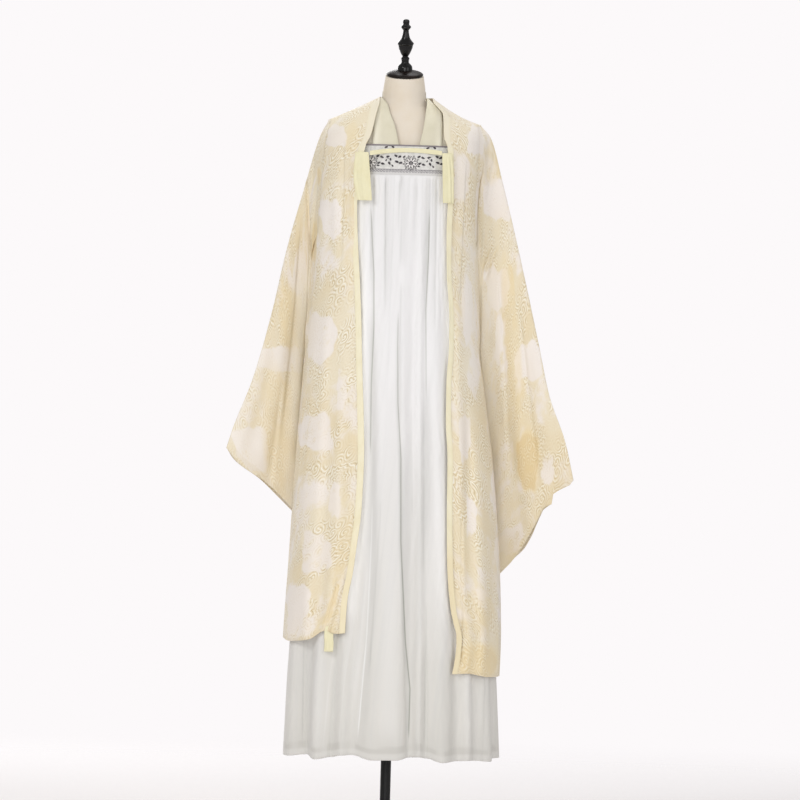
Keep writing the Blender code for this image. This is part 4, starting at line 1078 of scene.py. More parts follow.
def chiffon():
    """White chiffon: cool white at the chest, painted greyer to the hem for the shade lower down."""
    k = Look("skirt_chiffon", srgb(226, 225, 223), 0.78, Sheen_Weight=0.15, Sheen_Roughness=0.5,
             Specular_IOR_Level=0.18)
    place = k.place()
    z = k.node("ShaderNodeSeparateXYZ", 2, None, Vector=place)
    flat = k.map()
    streaks = k.noise(k.vector("MULTIPLY", flat, (75.0, 1.6, 1.0)), 1.0, 3.0, 0.5)
    wide = k.noise(k.vector("MULTIPLY", flat, (18.0, 1.1, 1.0)), 1.0, 2.0, 0.5)
    down = k.ramp(z, 0.22, 1.10, 1.0, 0.0)
    colour = k.blend(down, srgb(239, 238, 238), srgb(221, 219, 213))
    more = k.math("MULTIPLY_ADD", down, 0.3, 0.4)
    colour = k.blend(k.math("MULTIPLY", k.math("MULTIPLY", k.ramp(streaks, 0.46, 0.68), 0.30), more), colour,
                     srgb(208, 208, 206))
    colour = k.blend(k.math("MULTIPLY", k.math("MULTIPLY", k.ramp(streaks, 0.42, 0.30), 0.28), more), colour,
                     srgb(242, 241, 240))
    colour = k.blend(k.math("MULTIPLY", k.ramp(wide, 0.45, 0.70), k.math("MULTIPLY_ADD", down, 0.10, 0.05)),
                     colour, srgb(205, 203, 194))
    # under the lining's edge the single layer looks darker, in patches
    under = k.mark("under")
    colour = k.blend(k.math("MULTIPLY", under, 0.45), colour, srgb(188, 185, 178))
    colour = k.blend(k.math("MULTIPLY", k.mark("hem"), 0.55), colour, srgb(232, 230, 226))
    colour = k.blend(k.math("MULTIPLY", k.mark("shade"), k.math("MULTIPLY_ADD", down, -0.34, 0.66)), colour,
                     srgb(184, 184, 180))
    colour = k.blend(k.math("MULTIPLY", k.mark("lit"), 0.50), colour, srgb(244, 243, 242))
    # painted light beside the robe's edges and under its hems, against their shade
    colour = k.blend(k.math("MULTIPLY", k.mark("bright"), 0.95), colour, srgb(255, 254, 252))
    # painted shade along the pressed pleat edges
    colour = k.blend(k.math("MULTIPLY", k.mark("line"), 0.75), colour, srgb(172, 172, 166))
    # painted shade, darker towards the hem
    colour = k.blend(k.ramp(z, 0.24, 0.13, 0.0, 0.45), colour, srgb(204, 202, 196))
    # painted shade of the sharpest pressed folds: a thin dark line with a soft
    # shade on one side; the last is a painted highlight on a ridge
    for mark in ("press_a", "press_b", "press_c", "press_d"):
        off, run = k.mark(mark), k.mark(mark + "_run")
        thin = k.math("MULTIPLY", k.ramp(k.math("ABSOLUTE", off), 0.0004, 0.0021, 1.0, 0.0), run)
        if mark == "press_d":
            colour = k.blend(thin, colour, srgb(250, 250, 249))
            continue
        shade = k.math("MULTIPLY", k.ramp(off, -0.009, -0.0006), k.ramp(off, 0.0, 0.0012, 1.0, 0.0))
        colour = k.blend(k.math("MULTIPLY", k.math("MULTIPLY", shade, run), 0.42), colour, srgb(186, 187, 182))
        colour = k.blend(k.math("MULTIPLY", thin, 0.92), colour, srgb(156, 157, 148))
    k.feed("Base Color", colour)
    threads = k.weave(flat, 0.0009)
    crinkle = k.noise(k.vector("MULTIPLY", flat, (260.0, 14.0, 1.0)), 1.0, 3.0, 0.6)
    height = k.math("ADD", k.math("MULTIPLY", threads, 0.2), k.math("MULTIPLY", crinkle, 0.7))
    k.feed("Normal", k.bump(height, 0.0005, 0.5))
    return k.material


def plain_cloth(name, colour, dark, pitch=0.0008, rough=0.6, alpha=None, sheen=0.2, top=None):
    """A woven cloth of one colour with a little unevenness."""
    k = Look(name, colour, rough, Sheen_Weight=sheen, Sheen_Roughness=0.4,
             Specular_IOR_Level=0.3)
    flat = k.map()
    cloud = k.noise(flat, 26.0, 3.0, 0.6)
    threads = k.weave(flat, pitch)
    mixed = k.blend(k.math("MULTIPLY", k.ramp(cloud, 0.4, 0.68), 0.5), colour, dark)
    if top:     # the part of the band that lies on the shoulder looks like the robe
        mixed = k.blend(k.math("MULTIPLY", k.mark("high"), 0.85), mixed, top)
        mixed = k.blend(k.math("MULTIPLY", k.mark("low"), 0.85), mixed, srgb(237, 221, 183))
    mixed = k.blend(k.math("MULTIPLY", threads, 0.12), mixed, dark)
    mixed = k.blend(k.math("MULTIPLY", k.mark("rim"), 0.8), mixed, srgb(253, 249, 232))
    edge = k.mark("edge")
    mixed = k.blend(k.math("MULTIPLY", edge, 0.5), mixed, dark)
    k.feed("Base Color", mixed)
    crinkle = k.noise(flat, 150.0, 3.0, 0.6)
    height = k.math("ADD", k.math("MULTIPLY", threads, 0.4), k.math("MULTIPLY", crinkle, 0.6))
    height = k.math("SUBTRACT", height, k.math("MULTIPLY", edge, 0.6))
    k.feed("Normal", k.bump(height, 0.0005, 0.6))
    if alpha is not None:
        k.feed("Alpha", k.lerp(threads, alpha - 0.04, alpha + 0.04))
    return k.material


def lace():
    """White net with a dark top edge and a dotted scalloped lower border."""
    k = Look("lace_band", srgb(224, 222, 218), 0.8, Sheen_Weight=0.1, Specular_IOR_Level=0.2)
    flat = k.map()
    net = k.node("ShaderNodeTexVoronoi", 0, {"voronoi_dimensions": "2D",
                                             "feature": "DISTANCE_TO_EDGE"},
                 Vector=flat, Scale=420.0, Randomness=0.25)
    thread = k.ramp(net, 0.05, 0.16, 1.0, 0.0)
    cloud = k.noise(flat, 120.0, 3.0, 0.6)
    colour = k.blend(k.math("MULTIPLY", k.ramp(cloud, 0.42, 0.6), 0.6), srgb(238, 236, 232),
                     srgb(214, 214, 208))
    colour = k.blend(k.math("MULTIPLY", thread, 0.22), colour, srgb(176, 174, 174))
    # borders, by distance from the top edge of the band
    v = k.node("ShaderNodeSeparateXYZ", 1, None, Vector=flat)
    u = k.node("ShaderNodeSeparateXYZ", 0, None, Vector=flat)
    top = k.ramp(v, 0.0028, 0.0042, 1.0, 0.0)
    low = k.ramp(v, 0.0535, 0.0550)
    line = k.ramp(k.math("ABSOLUTE", k.math("SUBTRACT", v, 0.0550)), 0.0005, 0.0013, 1.0, 0.0)
    # scallops of small dots and loops below the line
    pitch = 0.0062
    part = k.math("SUBTRACT", k.math("FRACT", k.math("DIVIDE", u, pitch)), 0.5)
    across = k.math("MULTIPLY", part, pitch)
    down = k.math("SUBTRACT", v, 0.0586)
    loop = k.math("SQRT", k.math("ADD", k.math("MULTIPLY", across, across), k.math("MULTIPLY", down, down)))
    loops = k.ramp(k.math("ABSOLUTE", k.math("SUBTRACT", loop, 0.0020)), 0.0004, 0.0010, 1.0, 0.0)
    dots = k.ramp(k.noise(flat, 520.0, 2.0), 0.50, 0.60)
    colour = k.blend(k.math("MULTIPLY", low, 0.45), colour, srgb(186, 183, 186))
    colour = k.blend(k.math("MULTIPLY", k.math("MULTIPLY", loops, low), 0.80), colour, srgb(118, 112, 120))
    colour = k.blend(k.math("MULTIPLY", k.math("MULTIPLY", dots, low), 0.40), colour, srgb(240, 238, 236))
    colour = k.blend(k.math("MULTIPLY", line, 0.70), colour, srgb(112, 107, 113))
    colour = k.blend(k.ramp(v, 0.0622, 0.0630), colour, srgb(222, 220, 218))
    colour = k.blend(k.math("MULTIPLY", top, 0.85), colour, srgb(122, 112, 118))
    k.feed("Base Color", colour)
    k.feed("Normal", k.bump(k.math("ADD", thread, k.math("ADD", top, k.math("ADD", line, loops))), 0.0004, 0.7))
    return k.material


def thread_look(name, colour, dark):
    k = Look(name, colour, 0.7, Sheen_Weight=0.2, Specular_IOR_Level=0.25)
    place = k.place()
    fine = k.noise(place, 900.0, 2.0)
    k.feed("Base Color", k.blend(k.ramp(fine, 0.4, 0.65), colour, dark))
    k.feed("Normal", k.bump(fine, 0.0003, 0.6))
    return k.material


def jersey():
    k = Look("form_cover", srgb(232, 218, 200), 0.72, Sheen_Weight=0.25, Specular_IOR_Level=0.25)
    place = k.place()
    knit = k.noise(k.vector("MULTIPLY", place, (1400.0, 1400.0, 700.0)), 1.0, 1.0)
    cloud = k.noise(place, 14.0, 3.0)
    colour = k.blend(k.ramp(cloud, 0.35, 0.7), srgb(230, 220, 205), srgb(226, 213, 192))
    colour = k.blend(k.math("MULTIPLY", k.ramp(knit, 0.45, 0.7), 0.12), colour, srgb(204, 186, 164))
    k.feed("Base Color", colour)
    k.feed("Normal", k.bump(knit, 0.0004, 0.4))
    return k.material


def gloss(name, colour, rough, coat=0.0, fine=60.0, worn=None):
    k = Look(name, colour, rough, Coat_Weight=coat, Coat_Roughness=0.12, Specular_IOR_Level=0.35)
    place = k.place()
    cloud = k.noise(place, fine, 4.0, 0.6)
    k.feed("Roughness", k.ramp(cloud, 0.3, 0.75, max(rough - 0.06, 0.03), rough + 0.10))
    if worn:
        k.feed("Base Color", k.blend(k.ramp(cloud, 0.45, 0.75), colour, worn))
    k.feed("Normal", k.bump(cloud, 0.0002, 0.25))
    return k.material


def wood():
    k = Look("cap_brown", srgb(16, 9, 7), 0.34, Specular_IOR_Level=0.22)
    place = k.place()
    grain = k.noise(k.vector("MULTIPLY", place, (40.0, 240.0, 160.0)), 1.0, 4.0, 0.6)
    k.feed("Base Color", k.blend(k.ramp(grain, 0.35, 0.7), srgb(12, 7, 5), srgb(30, 17, 12)))
    k.feed("Roughness", k.ramp(grain, 0.3, 0.7, 0.26, 0.42))
    k.feed("Normal", k.bump(grain, 0.0002, 0.3))
    return k.material


robe_look = organza()
skirt_look = chiffon()
band_look = plain_cloth("robe_band", srgb(243, 236, 208), srgb(235, 225, 188), 0.0010,
                        top=srgb(236, 227, 206))
ribbon_look = plain_cloth("ribbon", srgb(238, 232, 196), srgb(229, 220, 176), 0.0008, 0.45,
                          sheen=0.3)
collar_look = plain_cloth("inner_collar", srgb(224, 218, 196), srgb(214, 208, 182), 0.0010)
inner_look = plain_cloth("inner_top", srgb(234, 227, 210), srgb(222, 213, 192), 0.0009)
lace_look = lace()
dark_thread = thread_look("lace_thread_dark", srgb(80, 75, 79), srgb(50, 46, 50))
pale_thread = thread_look("lace_thread_pale", srgb(240, 238, 234), srgb(206, 202, 200))
form_look = jersey()
gloss_look = gloss("black_gloss", srgb(8, 7, 7), 0.22, 0.0)
steel_look = gloss("black_steel", srgb(20, 20, 20), 0.42, 0.0, 90.0, srgb(34, 33, 32))
cap_look = wood()

# ---------------------------------------------------------- stand and form
turned("base_plate", (
    (0.0, 0.0), (BASE_R - 0.001, 0.0), (BASE_R, 0.001), (BASE_R, BASE_EDGE - 0.001),
    (BASE_R - 0.0015, BASE_EDGE + 0.001), (BASE_R - 0.006, BASE_EDGE + 0.0026),
    (BASE_R - 0.040, 0.0095), (0.110, 0.0112), (BOSS_R + 0.006, BASE_MID + 0.0008),
    (BOSS_R + 0.001, BASE_MID + 0.003), (BOSS_R, BASE_MID + 0.006), (BOSS_R, BOSS_TOP - 0.002),
    (BOSS_R - 0.0006, BOSS_TOP - 0.0006), (BOSS_R - 0.002, BOSS_TOP), (SOCKET_R + 0.0006, BOSS_TOP),
    (SOCKET_R, BOSS_TOP - 0.0006), (SOCKET_R, 0.006), (0.0, 0.006),
), steel_look, ("stand_base",), 128)
turned("base_pole", (
    (0.0, 0.0063), (POLE_R - 0.0006, 0.0063), (POLE_R, 0.0069), (POLE_R, POLE_TOP - 0.0006),
    (POLE_R - 0.0006, POLE_TOP), (0.0, POLE_TOP),
), steel_look, ("stand_pole",), 48)


def form_body(segments=112):
    """The foam torso, open in its underside for the pole."""
    heights = spread(0.815, 1.44, 46) + spread(1.447, FORM[-1][0], 42)
    rows = [FORM[1]] + [(z, read(FORM, "half", z), read(FORM, "front", z),
                         read(FORM, "back", z), read(FORM, "n", z)) for z in heights]
    bore = [Vector((SOCKET_R * math.sin(2 * math.pi * k / segments),
                    -SOCKET_R * math.cos(2 * math.pi * k / segments), 0))
            for k in range(segments)]
    rings = [[p + Vector((0, 0, FORM_SOCKET_TOP)) for p in bore],
             [p + Vector((0, 0, FORM_BOTTOM)) for p in bore]]
    rings += [form_ring(row, segments) for row in rows]
    points, faces = [p for ring in rings for p in ring], []
    for r in range(len(rings) - 1):
        for k in range(segments):
            j = (k + 1) % segments
            faces.append([r * segments + k, r * segments + j,
                          (r + 1) * segments + j, (r + 1) * segments + k])
    low, high = len(points), len(points) + 1
    points += [Vector((0, 0, FORM_SOCKET_TOP)), Vector((0, NECK_TOP_Y, FORM[-1][0]))]
    last = (len(rings) - 1) * segments
    for k in range(segments):
        j = (k + 1) % segments
        faces.append([low, j, k])
        faces.append([high, last + k, last + j])
    solid_piece("form_body", points, faces, form_look, ("form_torso",), True, 50)


form_body()
neck_place = Matrix.Translation((0, NECK_TOP_Y, NECK_TOP_Z)) @ Matrix.Rotation(NECK_TILT, 4, "X")
turned("form_cap", [
    (0.0, GAP), (CAP_R - 0.0032, GAP), (CAP_R - 0.0012, 0.0009), (CAP_R - 0.0002, 0.0022),
    (CAP_R + 0.0002, 0.0034), (CAP_R, 0.0046), (CAP_R - 0.0012, 0.0060), (CAP_R - 0.0034, 0.0075),
    (0.0330, 0.0090), (0.0300, 0.0099), (0.0255, 0.0109), (0.0215, 0.0117), (0.0185, 0.0125),
    (0.0170, CAP_H), (0.0, CAP_H),
], cap_look, ("form_neck_cap",), 96, neck_place)
knob = [(FINIAL[1][1], FINIAL[1][0])] + [(r, h * FINIAL_STRETCH) for h, r in FINIAL[2:]]
knob = profile_curve(knob, 4)
knob = [(0.0, FINIAL[1][0] + 0.0002)] + knob + [(0.0026, FINIAL[-1][0] * FINIAL_STRETCH + 0.0005),
                                                (0.0, FINIAL[-1][0] * FINIAL_STRETCH + 0.0006)]
turned("form_knob", knob, gloss_look, ("form_finial",), 64,
       neck_place @ Matrix.Translation((0, 0, CAP_H + 0.0001)))


# ------------------------------------------------------------------- skirt
def bearing(x, z):
    """Bearing from the middle of the front, in degrees, of x on the skirt."""
    half = read(SKIRT, "right" if x > 0 else "left", z)
    return math.copysign(math.degrees(math.asin(min((abs(x) / half) ** (SKIRT_N / 2), 1.0))), x)


# creases of the skirt's front, by x and height, and of its back by bearing
SKIRT_CREASES = (
    ("kind", "x0", "z0", "x1", "z1", "w0", "w1", "height", "top", "low"),
    ("fold", -0.0021, 1.390, 0.0040, 1.164, 0.006, 0.010, -0.0030, 0.02, 0.25),
    ("fold", 0.0035, 1.190, 0.0084, 0.822, 0.009, 0.012, -0.0032, 0.15, 0.20),
    ("fold", 0.0075, 0.900, 0.0483, 0.130, 0.012, 0.020, -0.0048, 0.20, 0.0),
    ("soft", -0.0020, 1.390, 0.0300, 0.500, 0.004, 0.012, 0.0016, 0.05, 0.5),
    ("soft", -0.0628, 1.390, -0.0583, 1.100, 0.0035, 0.006, -0.0022, 0.03, 0.4),
    ("soft", -0.0590, 1.130, -0.0490, 0.800, 0.006, 0.012, -0.0030, 0.3, 0.3),
    ("soft", -0.0500, 0.900, -0.0390, 0.420, 0.010, 0.015, -0.0040, 0.25, 0.4),
    ("fold", -0.0354, 1.390, -0.0293, 1.060, 0.005, 0.008, -0.0028, 0.02, 0.5),
    ("fold", 0.0619, 1.390, 0.0612, 1.040, -0.006, -0.009, -0.0028, 0.03, 0.5),
    ("fold", 0.0758, 1.390, 0.0820, 0.980, -0.005, -0.009, -0.0026, 0.03, 0.5),
    ("soft", 0.0300, 1.390, 0.0330, 1.180, 0.004, 0.006, -0.0014, 0.03, 0.6),
    ("soft", 0.0450, 1.300, 0.0560, 0.700, 0.006, 0.012, 0.0022, 0.3, 0.4),
    ("soft", 0.0640, 1.000, 0.0720, 0.480, 0.008, 0.012, -0.0032, 0.3, 0.4),
    ("soft", 0.0860, 0.900, 0.0900, 0.420, 0.008, 0.012, 0.0022, 0.4, 0.4),
    ("soft", -0.0480, 0.620, -0.0740, 0.200, 0.007, 0.009, 0.0036, 0.3, 0.3),
    ("soft", -0.0340, 0.620, -0.0560, 0.160, 0.010, 0.014, -0.0034, 0.3, 0.2),
    ("fold", 0.0810, 0.420, 0.0876, 0.130, -0.007, -0.011, -0.0042, 0.3, 0.0),
    ("soft", 0.0660, 0.500, 0.0660, 0.150, 0.010, 0.014, 0.0026, 0.4, 0.1),
    ("soft", -0.0080, 0.700, 0.0080, 0.150, 0.014, 0.024, 0.0030, 0.4, 0.1),
    ("fold", -0.1800, 0.460, -0.1794, 0.130, 0.006, 0.010, -0.0040, 0.3, 0.0),
    ("fold", -0.1150, 0.400, -0.1230, 0.130, 0.009, 0.014, -0.0036, 0.4, 0.0),
    ("soft", -0.1450, 0.420, -0.1480, 0.140, 0.010, 0.016, 0.0028, 0.4, 0.1),
    ("soft", 0.1420, 0.420, 0.1456, 0.130, 0.008, 0.012, -0.0036, 0.4, 0.0),
    ("soft", 0.1700, 0.420, 0.1780, 0.140, 0.010, 0.016, 0.0026, 0.4, 0.1),
    ("fold", 0.2010, 0.420, 0.2080, 0.130, 0.010, 0.016, -0.0038, 0.4, 0.0),
    ("soft", 0.1120, 0.420, 0.1180, 0.150, 0.009, 0.013, -0.0022, 0.4, 0.1),
)


def skirt_creases():
    rows = [SKIRT_CREASES[0]]
    for kind, x0, z0, x1, z1, w0, w1, height, top, low in SKIRT_CREASES[1:]:
        b0, b1 = bearing(x0, z0), bearing(x1, z1)
        e0 = abs(bearing(x0 * 0.999 + math.copysign(0.004, -x0), z0) - b0) / 0.004
        e1 = abs(bearing(x1 * 0.999 + math.copysign(0.004, -x1), z1) - b1) / 0.004
        rows.append((kind, b0, z0, b1, z1, w0 * e0, w1 * e1, height, top, low))
    return tuple(rows)


def gathers(degrees, z, seed, low, high, keep=1.0):
    """Small pleats that leave the chest band at uneven spacing and depth."""
    rng, total, at = np.random.default_rng(seed), np.zeros(z.shape), low + 0.8
    while at < high - 0.8:
        wide = rng.uniform(0.45, 0.95)
        deep = rng.uniform(0.0003, 0.0011) * keep
        reach = rng.choice([rng.uniform(0.05, 0.16), rng.uniform(0.16, 0.42), rng.uniform(0.5, 0.9)],
                           p=[0.40, 0.35, 0.25])
        drift = rng.uniform(-0.8, 0.8)
        t = (BAND_LOW - z) / reach
        middle = at + drift * t
        s = (degrees - middle) / (wide * (1 + 0.9 * np.clip(t, 0, 1)))
        side = rng.choice([-1.0, 1.0])
        shape = np.where(s * side > 0, np.exp(-np.abs(s) * 1.1), np.exp(-(s * 2.2) ** 2))
        total -= deep * shape * soft(1 - t) ** 0.8 * soft(t * reach / 0.008)
        at += rng.uniform(2.2, 5.4)
    return total


# painted shade along the thin pressed edges of pleats, drawn as fine dark
# lines with a soft shade on one side: their points (x, z) from the chest down,
# then the strength at the top and at the bottom
CREASE_SHADE_LINES = (
    ((-0.0351, 1.385), (-0.0347, 1.337), (-0.0276, 1.080), 0.60, 0.10),
    ((-0.0040, 1.385), (-0.0050, 1.240), 0.55, 0.10), ((0.0320, 1.380), (0.0335, 1.300), 0.40, 0.10),
    ((0.0760, 1.370), (0.0775, 1.180), 0.50, 0.20), ((0.0640, 0.760), (0.0690, 0.520), 0.15, 0.40),
    ((0.0330, 0.900), (0.0420, 0.640), 0.15, 0.35), ((-0.0250, 0.700), (-0.0420, 0.300), 0.20, 0.50),
    ((0.0780, 0.480), (0.0793, 0.331), (0.0805, 0.160), 0.20, 0.60), ((-0.1837, 0.400), (-0.1806, 0.153), 0.40, 0.60),
)


# the four sharpest of them, painted as a dark line with shade on one side; the
# last a ridge that catches the light, painted as a highlight
SHARP = (
    ("press_a", ((-0.0663, 1.337), (-0.0544, 1.178), (-0.0512, 1.060), (-0.0535, 0.940), (-0.0511, 0.782)), 0.60, 0.55),
    ("press_b", ((-0.0001, 1.110), (0.0010, 1.020), (0.0047, 0.902), (0.0144, 0.784), (0.0188, 0.607), (0.0261, 0.509),
                 (0.0347, 0.390), (0.0473, 0.290), (0.0470, 0.175)), 0.45, 0.95),
    ("press_c", ((0.0611, 1.330), (0.0618, 1.222), (0.0591, 1.103), (0.0655, 0.900)), 0.80, 0.25),
    ("press_d", ((-0.0441, 0.700), (-0.0441, 0.606), (-0.0482, 0.407), (-0.0622, 0.175)), 0.30, 0.55),
)


def crease_shade(x, z):
    total = np.zeros(np.shape(x))
    for row in CREASE_SHADE_LINES:
        line, top, low = row[:-2], row[-2], row[-1]
        zs = [q[1] for q in line][::-1]
        middle = np.interp(z, zs, [q[0] for q in line][::-1])
        t = np.clip((zs[-1] - z) / (zs[-1] - zs[0]), 0, 1)
        run = soft((zs[-1] - z) / 0.02) * soft((z - zs[0]) / 0.05)
        s = x - middle
        total = np.maximum(total, (top + (low - top) * t) * run * np.maximum(
            np.exp(-(s / 0.0016) ** 2), 0.42 * (s < 0) * np.exp(-np.abs(s) / 0.006)))
    return total


def beside_robe(x, z):
    """Nearness, 1 to 0, to the robe's front edges, where the skirt shows; the skirt
    is painted lighter there against the robe's shade.
    """
    total = np.zeros(np.shape(x))
    for side in (-1, 1):
        line = [robe_point(side, 0, v, "front") for v in spread(0.02, 1, 60)][::-1]
        edge = np.interp(z, [q.z for q in line], [q.x for q in line])
        total = np.maximum(total, np.exp(-np.abs(x - edge) / 0.013) * soft((z - (0.41 if side < 0 else 0.33)) / 0.06))
    for height, across in ((0.398, (-0.108 - x)), (0.333, (x - 0.130))):     # and under the two hems
        total = np.maximum(total, 0.45 * np.exp(-np.abs(z - height) / 0.016) * soft(across / 0.02))
    return total


def skirt_half(name, table, node, low, high, seed, creases):
    """Half of the skirt; its side edges overlap those of the other half."""
    over = 0.45
    sheet = Cloth([[skirt_point(table, d, v) for d in spread(low - over, high + over, 109)]
                   for v in spread(0, 1, 30)], 240, 304, "front" if low < 0 else "back")
    degrees = np.linspace(low - over, high + over, sheet.p.shape[1])[None, :] + np.zeros(sheet.p.shape[:2])
    z = sheet.z().copy()
    main = crease_lines(creases, degrees, z)
    main = main * (1 - 0.36 * soft((0.72 - z) / 0.25))
    lines = main + gathers(degrees, z, seed, low, high)
    waves = rumple(degrees / 360.0, z, seed + 5, 0.0009, 0.60, 0.014) * soft((BAND_LOW - z) / 0.12)
    edge = np.minimum(degrees - low, high - degrees)
    sheet.move(0.0004 + (lines + waves) * soft((edge - 0.3) / 2.5) - (0.0005 if low > 0 else 0.0))
    u, v = sheet.lengths()
    up = v[-1:] - v
    sheet.mark("hem", soft((0.0135 - up) / 0.0015))
    sheet.move(-0.0005 * np.exp(-((up - 0.0128) / 0.0011) ** 2))
    rng = np.random.default_rng(seed + 9)
    patchy = soft(0.35 + 1.7 * np.sin(degrees / 7.5 + rng.uniform(0, 6)) * np.sin(degrees / 3.1 + 1.0))
    if low < 0:     # longer darker runs of the single layer, right of the middle
        for x0, x1 in ((-0.070, 0.040), (0.082, 0.108), (0.178, 0.214), (0.226, 0.238)):
            patchy = np.maximum(patchy, soft((degrees - bearing(x0, 0.16)) / 1.2) * soft((bearing(x1, 0.16) - degrees) / 1.2))
    patchy = 0.25 + 0.75 * patchy
    sheet.mark("under", patchy * soft((up - 0.012) / 0.002) * soft((0.029 - up + 0.003 * np.sin(degrees / 5)) / 0.004))
    sheet.mark("shade", np.clip(-lines / 0.0048, 0, 1))
    if low < 0:
        x = sheet.x()
        # painted shade along the pressed pleat edges
        sheet.mark("line", crease_shade(x, z))
        # painted light beside the robe's edges and under its hems
        sheet.mark("bright", beside_robe(x, z))
        for mark, line, top, bottom in SHARP:
            zs = [q[1] for q in line][::-1]
            t = np.clip((zs[-1] - z) / (zs[-1] - zs[0]), 0, 1)
            sheet.mark(mark, x - np.interp(z, zs, [q[0] for q in line][::-1]))
            sheet.mark(mark + "_run", (top + (bottom - top) * t) * soft((zs[-1] - z) / 0.05) * soft((z - zs[0]) / 0.04))
    sheet.mark("lit", np.clip(lines / 0.0045, 0, 1) * soft((BAND_LOW - z) / 0.1))
    sheet.turn_up(3)
    return cloth_piece(name, [sheet], skirt_look, (node,))


# troughs and ridges of the skirt's back, by bearing
SKIRT_BACK_CREASES = (
    ("kind", "x0", "z0", "x1", "z1", "w0", "w1", "height", "top", "low"),
    ("fold", 112, 1.390, 110, 0.600, 2.0, 4.0, -0.0040, 0.02, 0.5),
    ("fold", 133, 1.390, 131, 0.130, 2.4, 5.5, -0.0050, 0.02, 0.0),
    ("soft", 149, 1.390, 150, 0.700, 1.6, 4.0, -0.0034, 0.02, 0.5),
    ("fold", 163, 1.390, 160, 0.130, -2.2, -5.0, -0.0052, 0.02, 0.0),
    ("soft", 174, 1.390, 176, 0.500, 1.6, 4.5, -0.0036, 0.02, 0.5),
    ("fold", 187, 1.390, 190, 0.130, 2.2, 5.5, -0.0054, 0.02, 0.0),
    ("soft", 199, 1.390, 202, 0.640, 1.8, 4.0, 0.0030, 0.05, 0.5),
    ("fold", 212, 1.390, 216, 0.130, -2.2, -5.0, -0.0050, 0.02, 0.0),
    ("soft", 228, 1.390, 230, 0.560, 1.8, 4.5, -0.0036, 0.02, 0.5),
    ("fold", 243, 1.390, 247, 0.130, 2.0, 5.0, -0.0046, 0.02, 0.0),
)
skirt_front = skirt_half("skirt_front_cloth", SKIRT_FRONT_FOLDS, "skirt_front", -90, 90, 3, skirt_creases())
skirt_back = skirt_half("skirt_back_cloth", SKIRT_BACK_FOLDS, "skirt_back", 90, 270, 11, SKIRT_BACK_CREASES)

# lace chest band
for name, node, low, way in (("band_front_lace", "skirt_band_front", -90, "front"),
                             ("band_back_lace", "skirt_band_back", 90, "back")):
    sheet = Cloth([[skirt_base(math.radians(d), z)[0] for d in spread(low + 0.1, low + 179.9, 73)]
                   for z in spread(BAND_TOP, BAND_LOW - 0.0012, 9)], 40, 220, way)
    u, v = sheet.lengths()
    d = np.linspace(low, low + 180, sheet.p.shape[1])[None, :]
    sheet.move(0.0009 + 0.0006 * np.sin(np.radians(d * 6.1)) * np.sin(v * 60)
               + 0.0005 * np.exp(-((v - 0.0012) / 0.0010) ** 2)
               + 0.0004 * soft((v - 0.0535) / 0.001))
    piece = cloth_piece(name, [sheet], lace_look, (node,))


# embroidery on the band: one spray that repeats round it, in metres from the
# middle of its flower: pairs of leaves with their turn in degrees and length
SPRAY = (
    ("x", "z", "turn", "long", "wide"),
    (-0.0330, 0.0150, 150, 0.0082, 0.0048), (-0.0250, 0.0128, 205, 0.0078, 0.0046),
    (-0.0310, 0.0022, 160, 0.0092, 0.0046), (-0.0225, -0.0002, 190, 0.0086, 0.0044),
    (-0.0148, 0.0132, 40, 0.0066, 0.0036), (-0.0165, 0.0055, 120, 0.0060, 0.0030),
    (0.0170, 0.0138, 30, 0.0078, 0.0044), (0.0255, 0.0115, 335, 0.0080, 0.0044),
    (0.0385, 0.0128, 15, 0.0082, 0.0042), (0.0440, 0.0070, 290, 0.0062, 0.0034),
    (0.0190, -0.0010, 25, 0.0084, 0.0042), (0.0275, -0.0030, 345, 0.0086, 0.0044),
    (0.0415, -0.0018, 300, 0.0080, 0.0046), (0.0175, -0.0070, 350, 0.0064, 0.0030),
    (-0.0395, 0.0340, 150, 0.0070, 0.0040), (-0.0465, 0.0366, 70, 0.0076, 0.0044),
    (-0.0535, 0.0330, 15, 0.0074, 0.0036), (-0.0400, -0.0065, 130, 0.0060, 0.0032),
    (0.0345, 0.0048, 60, 0.0052, 0.0026),
)
STEMS = (   # arcs from one point to another with a bow, in metres
    ("x0", "z0", "x1", "z1", "bow"),
    (-0.0270, 0.0015, -0.0150, 0.0010, 0.0020), (-0.0290, 0.0135, -0.0165, 0.0085, 0.0018),
    (0.0140, 0.0000, 0.0235, -0.0018, -0.0016), (0.0150, 0.0080, 0.0215, 0.0126, 0.0012),
    (-0.0535, 0.0345, -0.0400, 0.0348, 0.0014), (0.0360, 0.0100, 0.0440, 0.0030, 0.0014),
)
SPRAY_STEP, FLOWER_AT = 0.0880, (0.0186, 1.4172)


def on_band(s, z, lift, back=False):
    """A point of the chest band at distance s round it from the middle."""
    half, deep = 0.1550, read(SKIRT, "back" if back else "front", z)
    x = s if abs(s) < 0.10 else math.copysign(0.10 + 0.0475 * math.sin(min((abs(s) - 0.10) / 0.075, 1.0) * 1.5), s)
    a = math.asin(min(abs(x) / half, 0.9999) ** (SKIRT_N / 2))
    a = math.copysign(a, x)
    if back:
        a = math.pi - a
    p, out = skirt_base(a, z)
    return p + out * lift


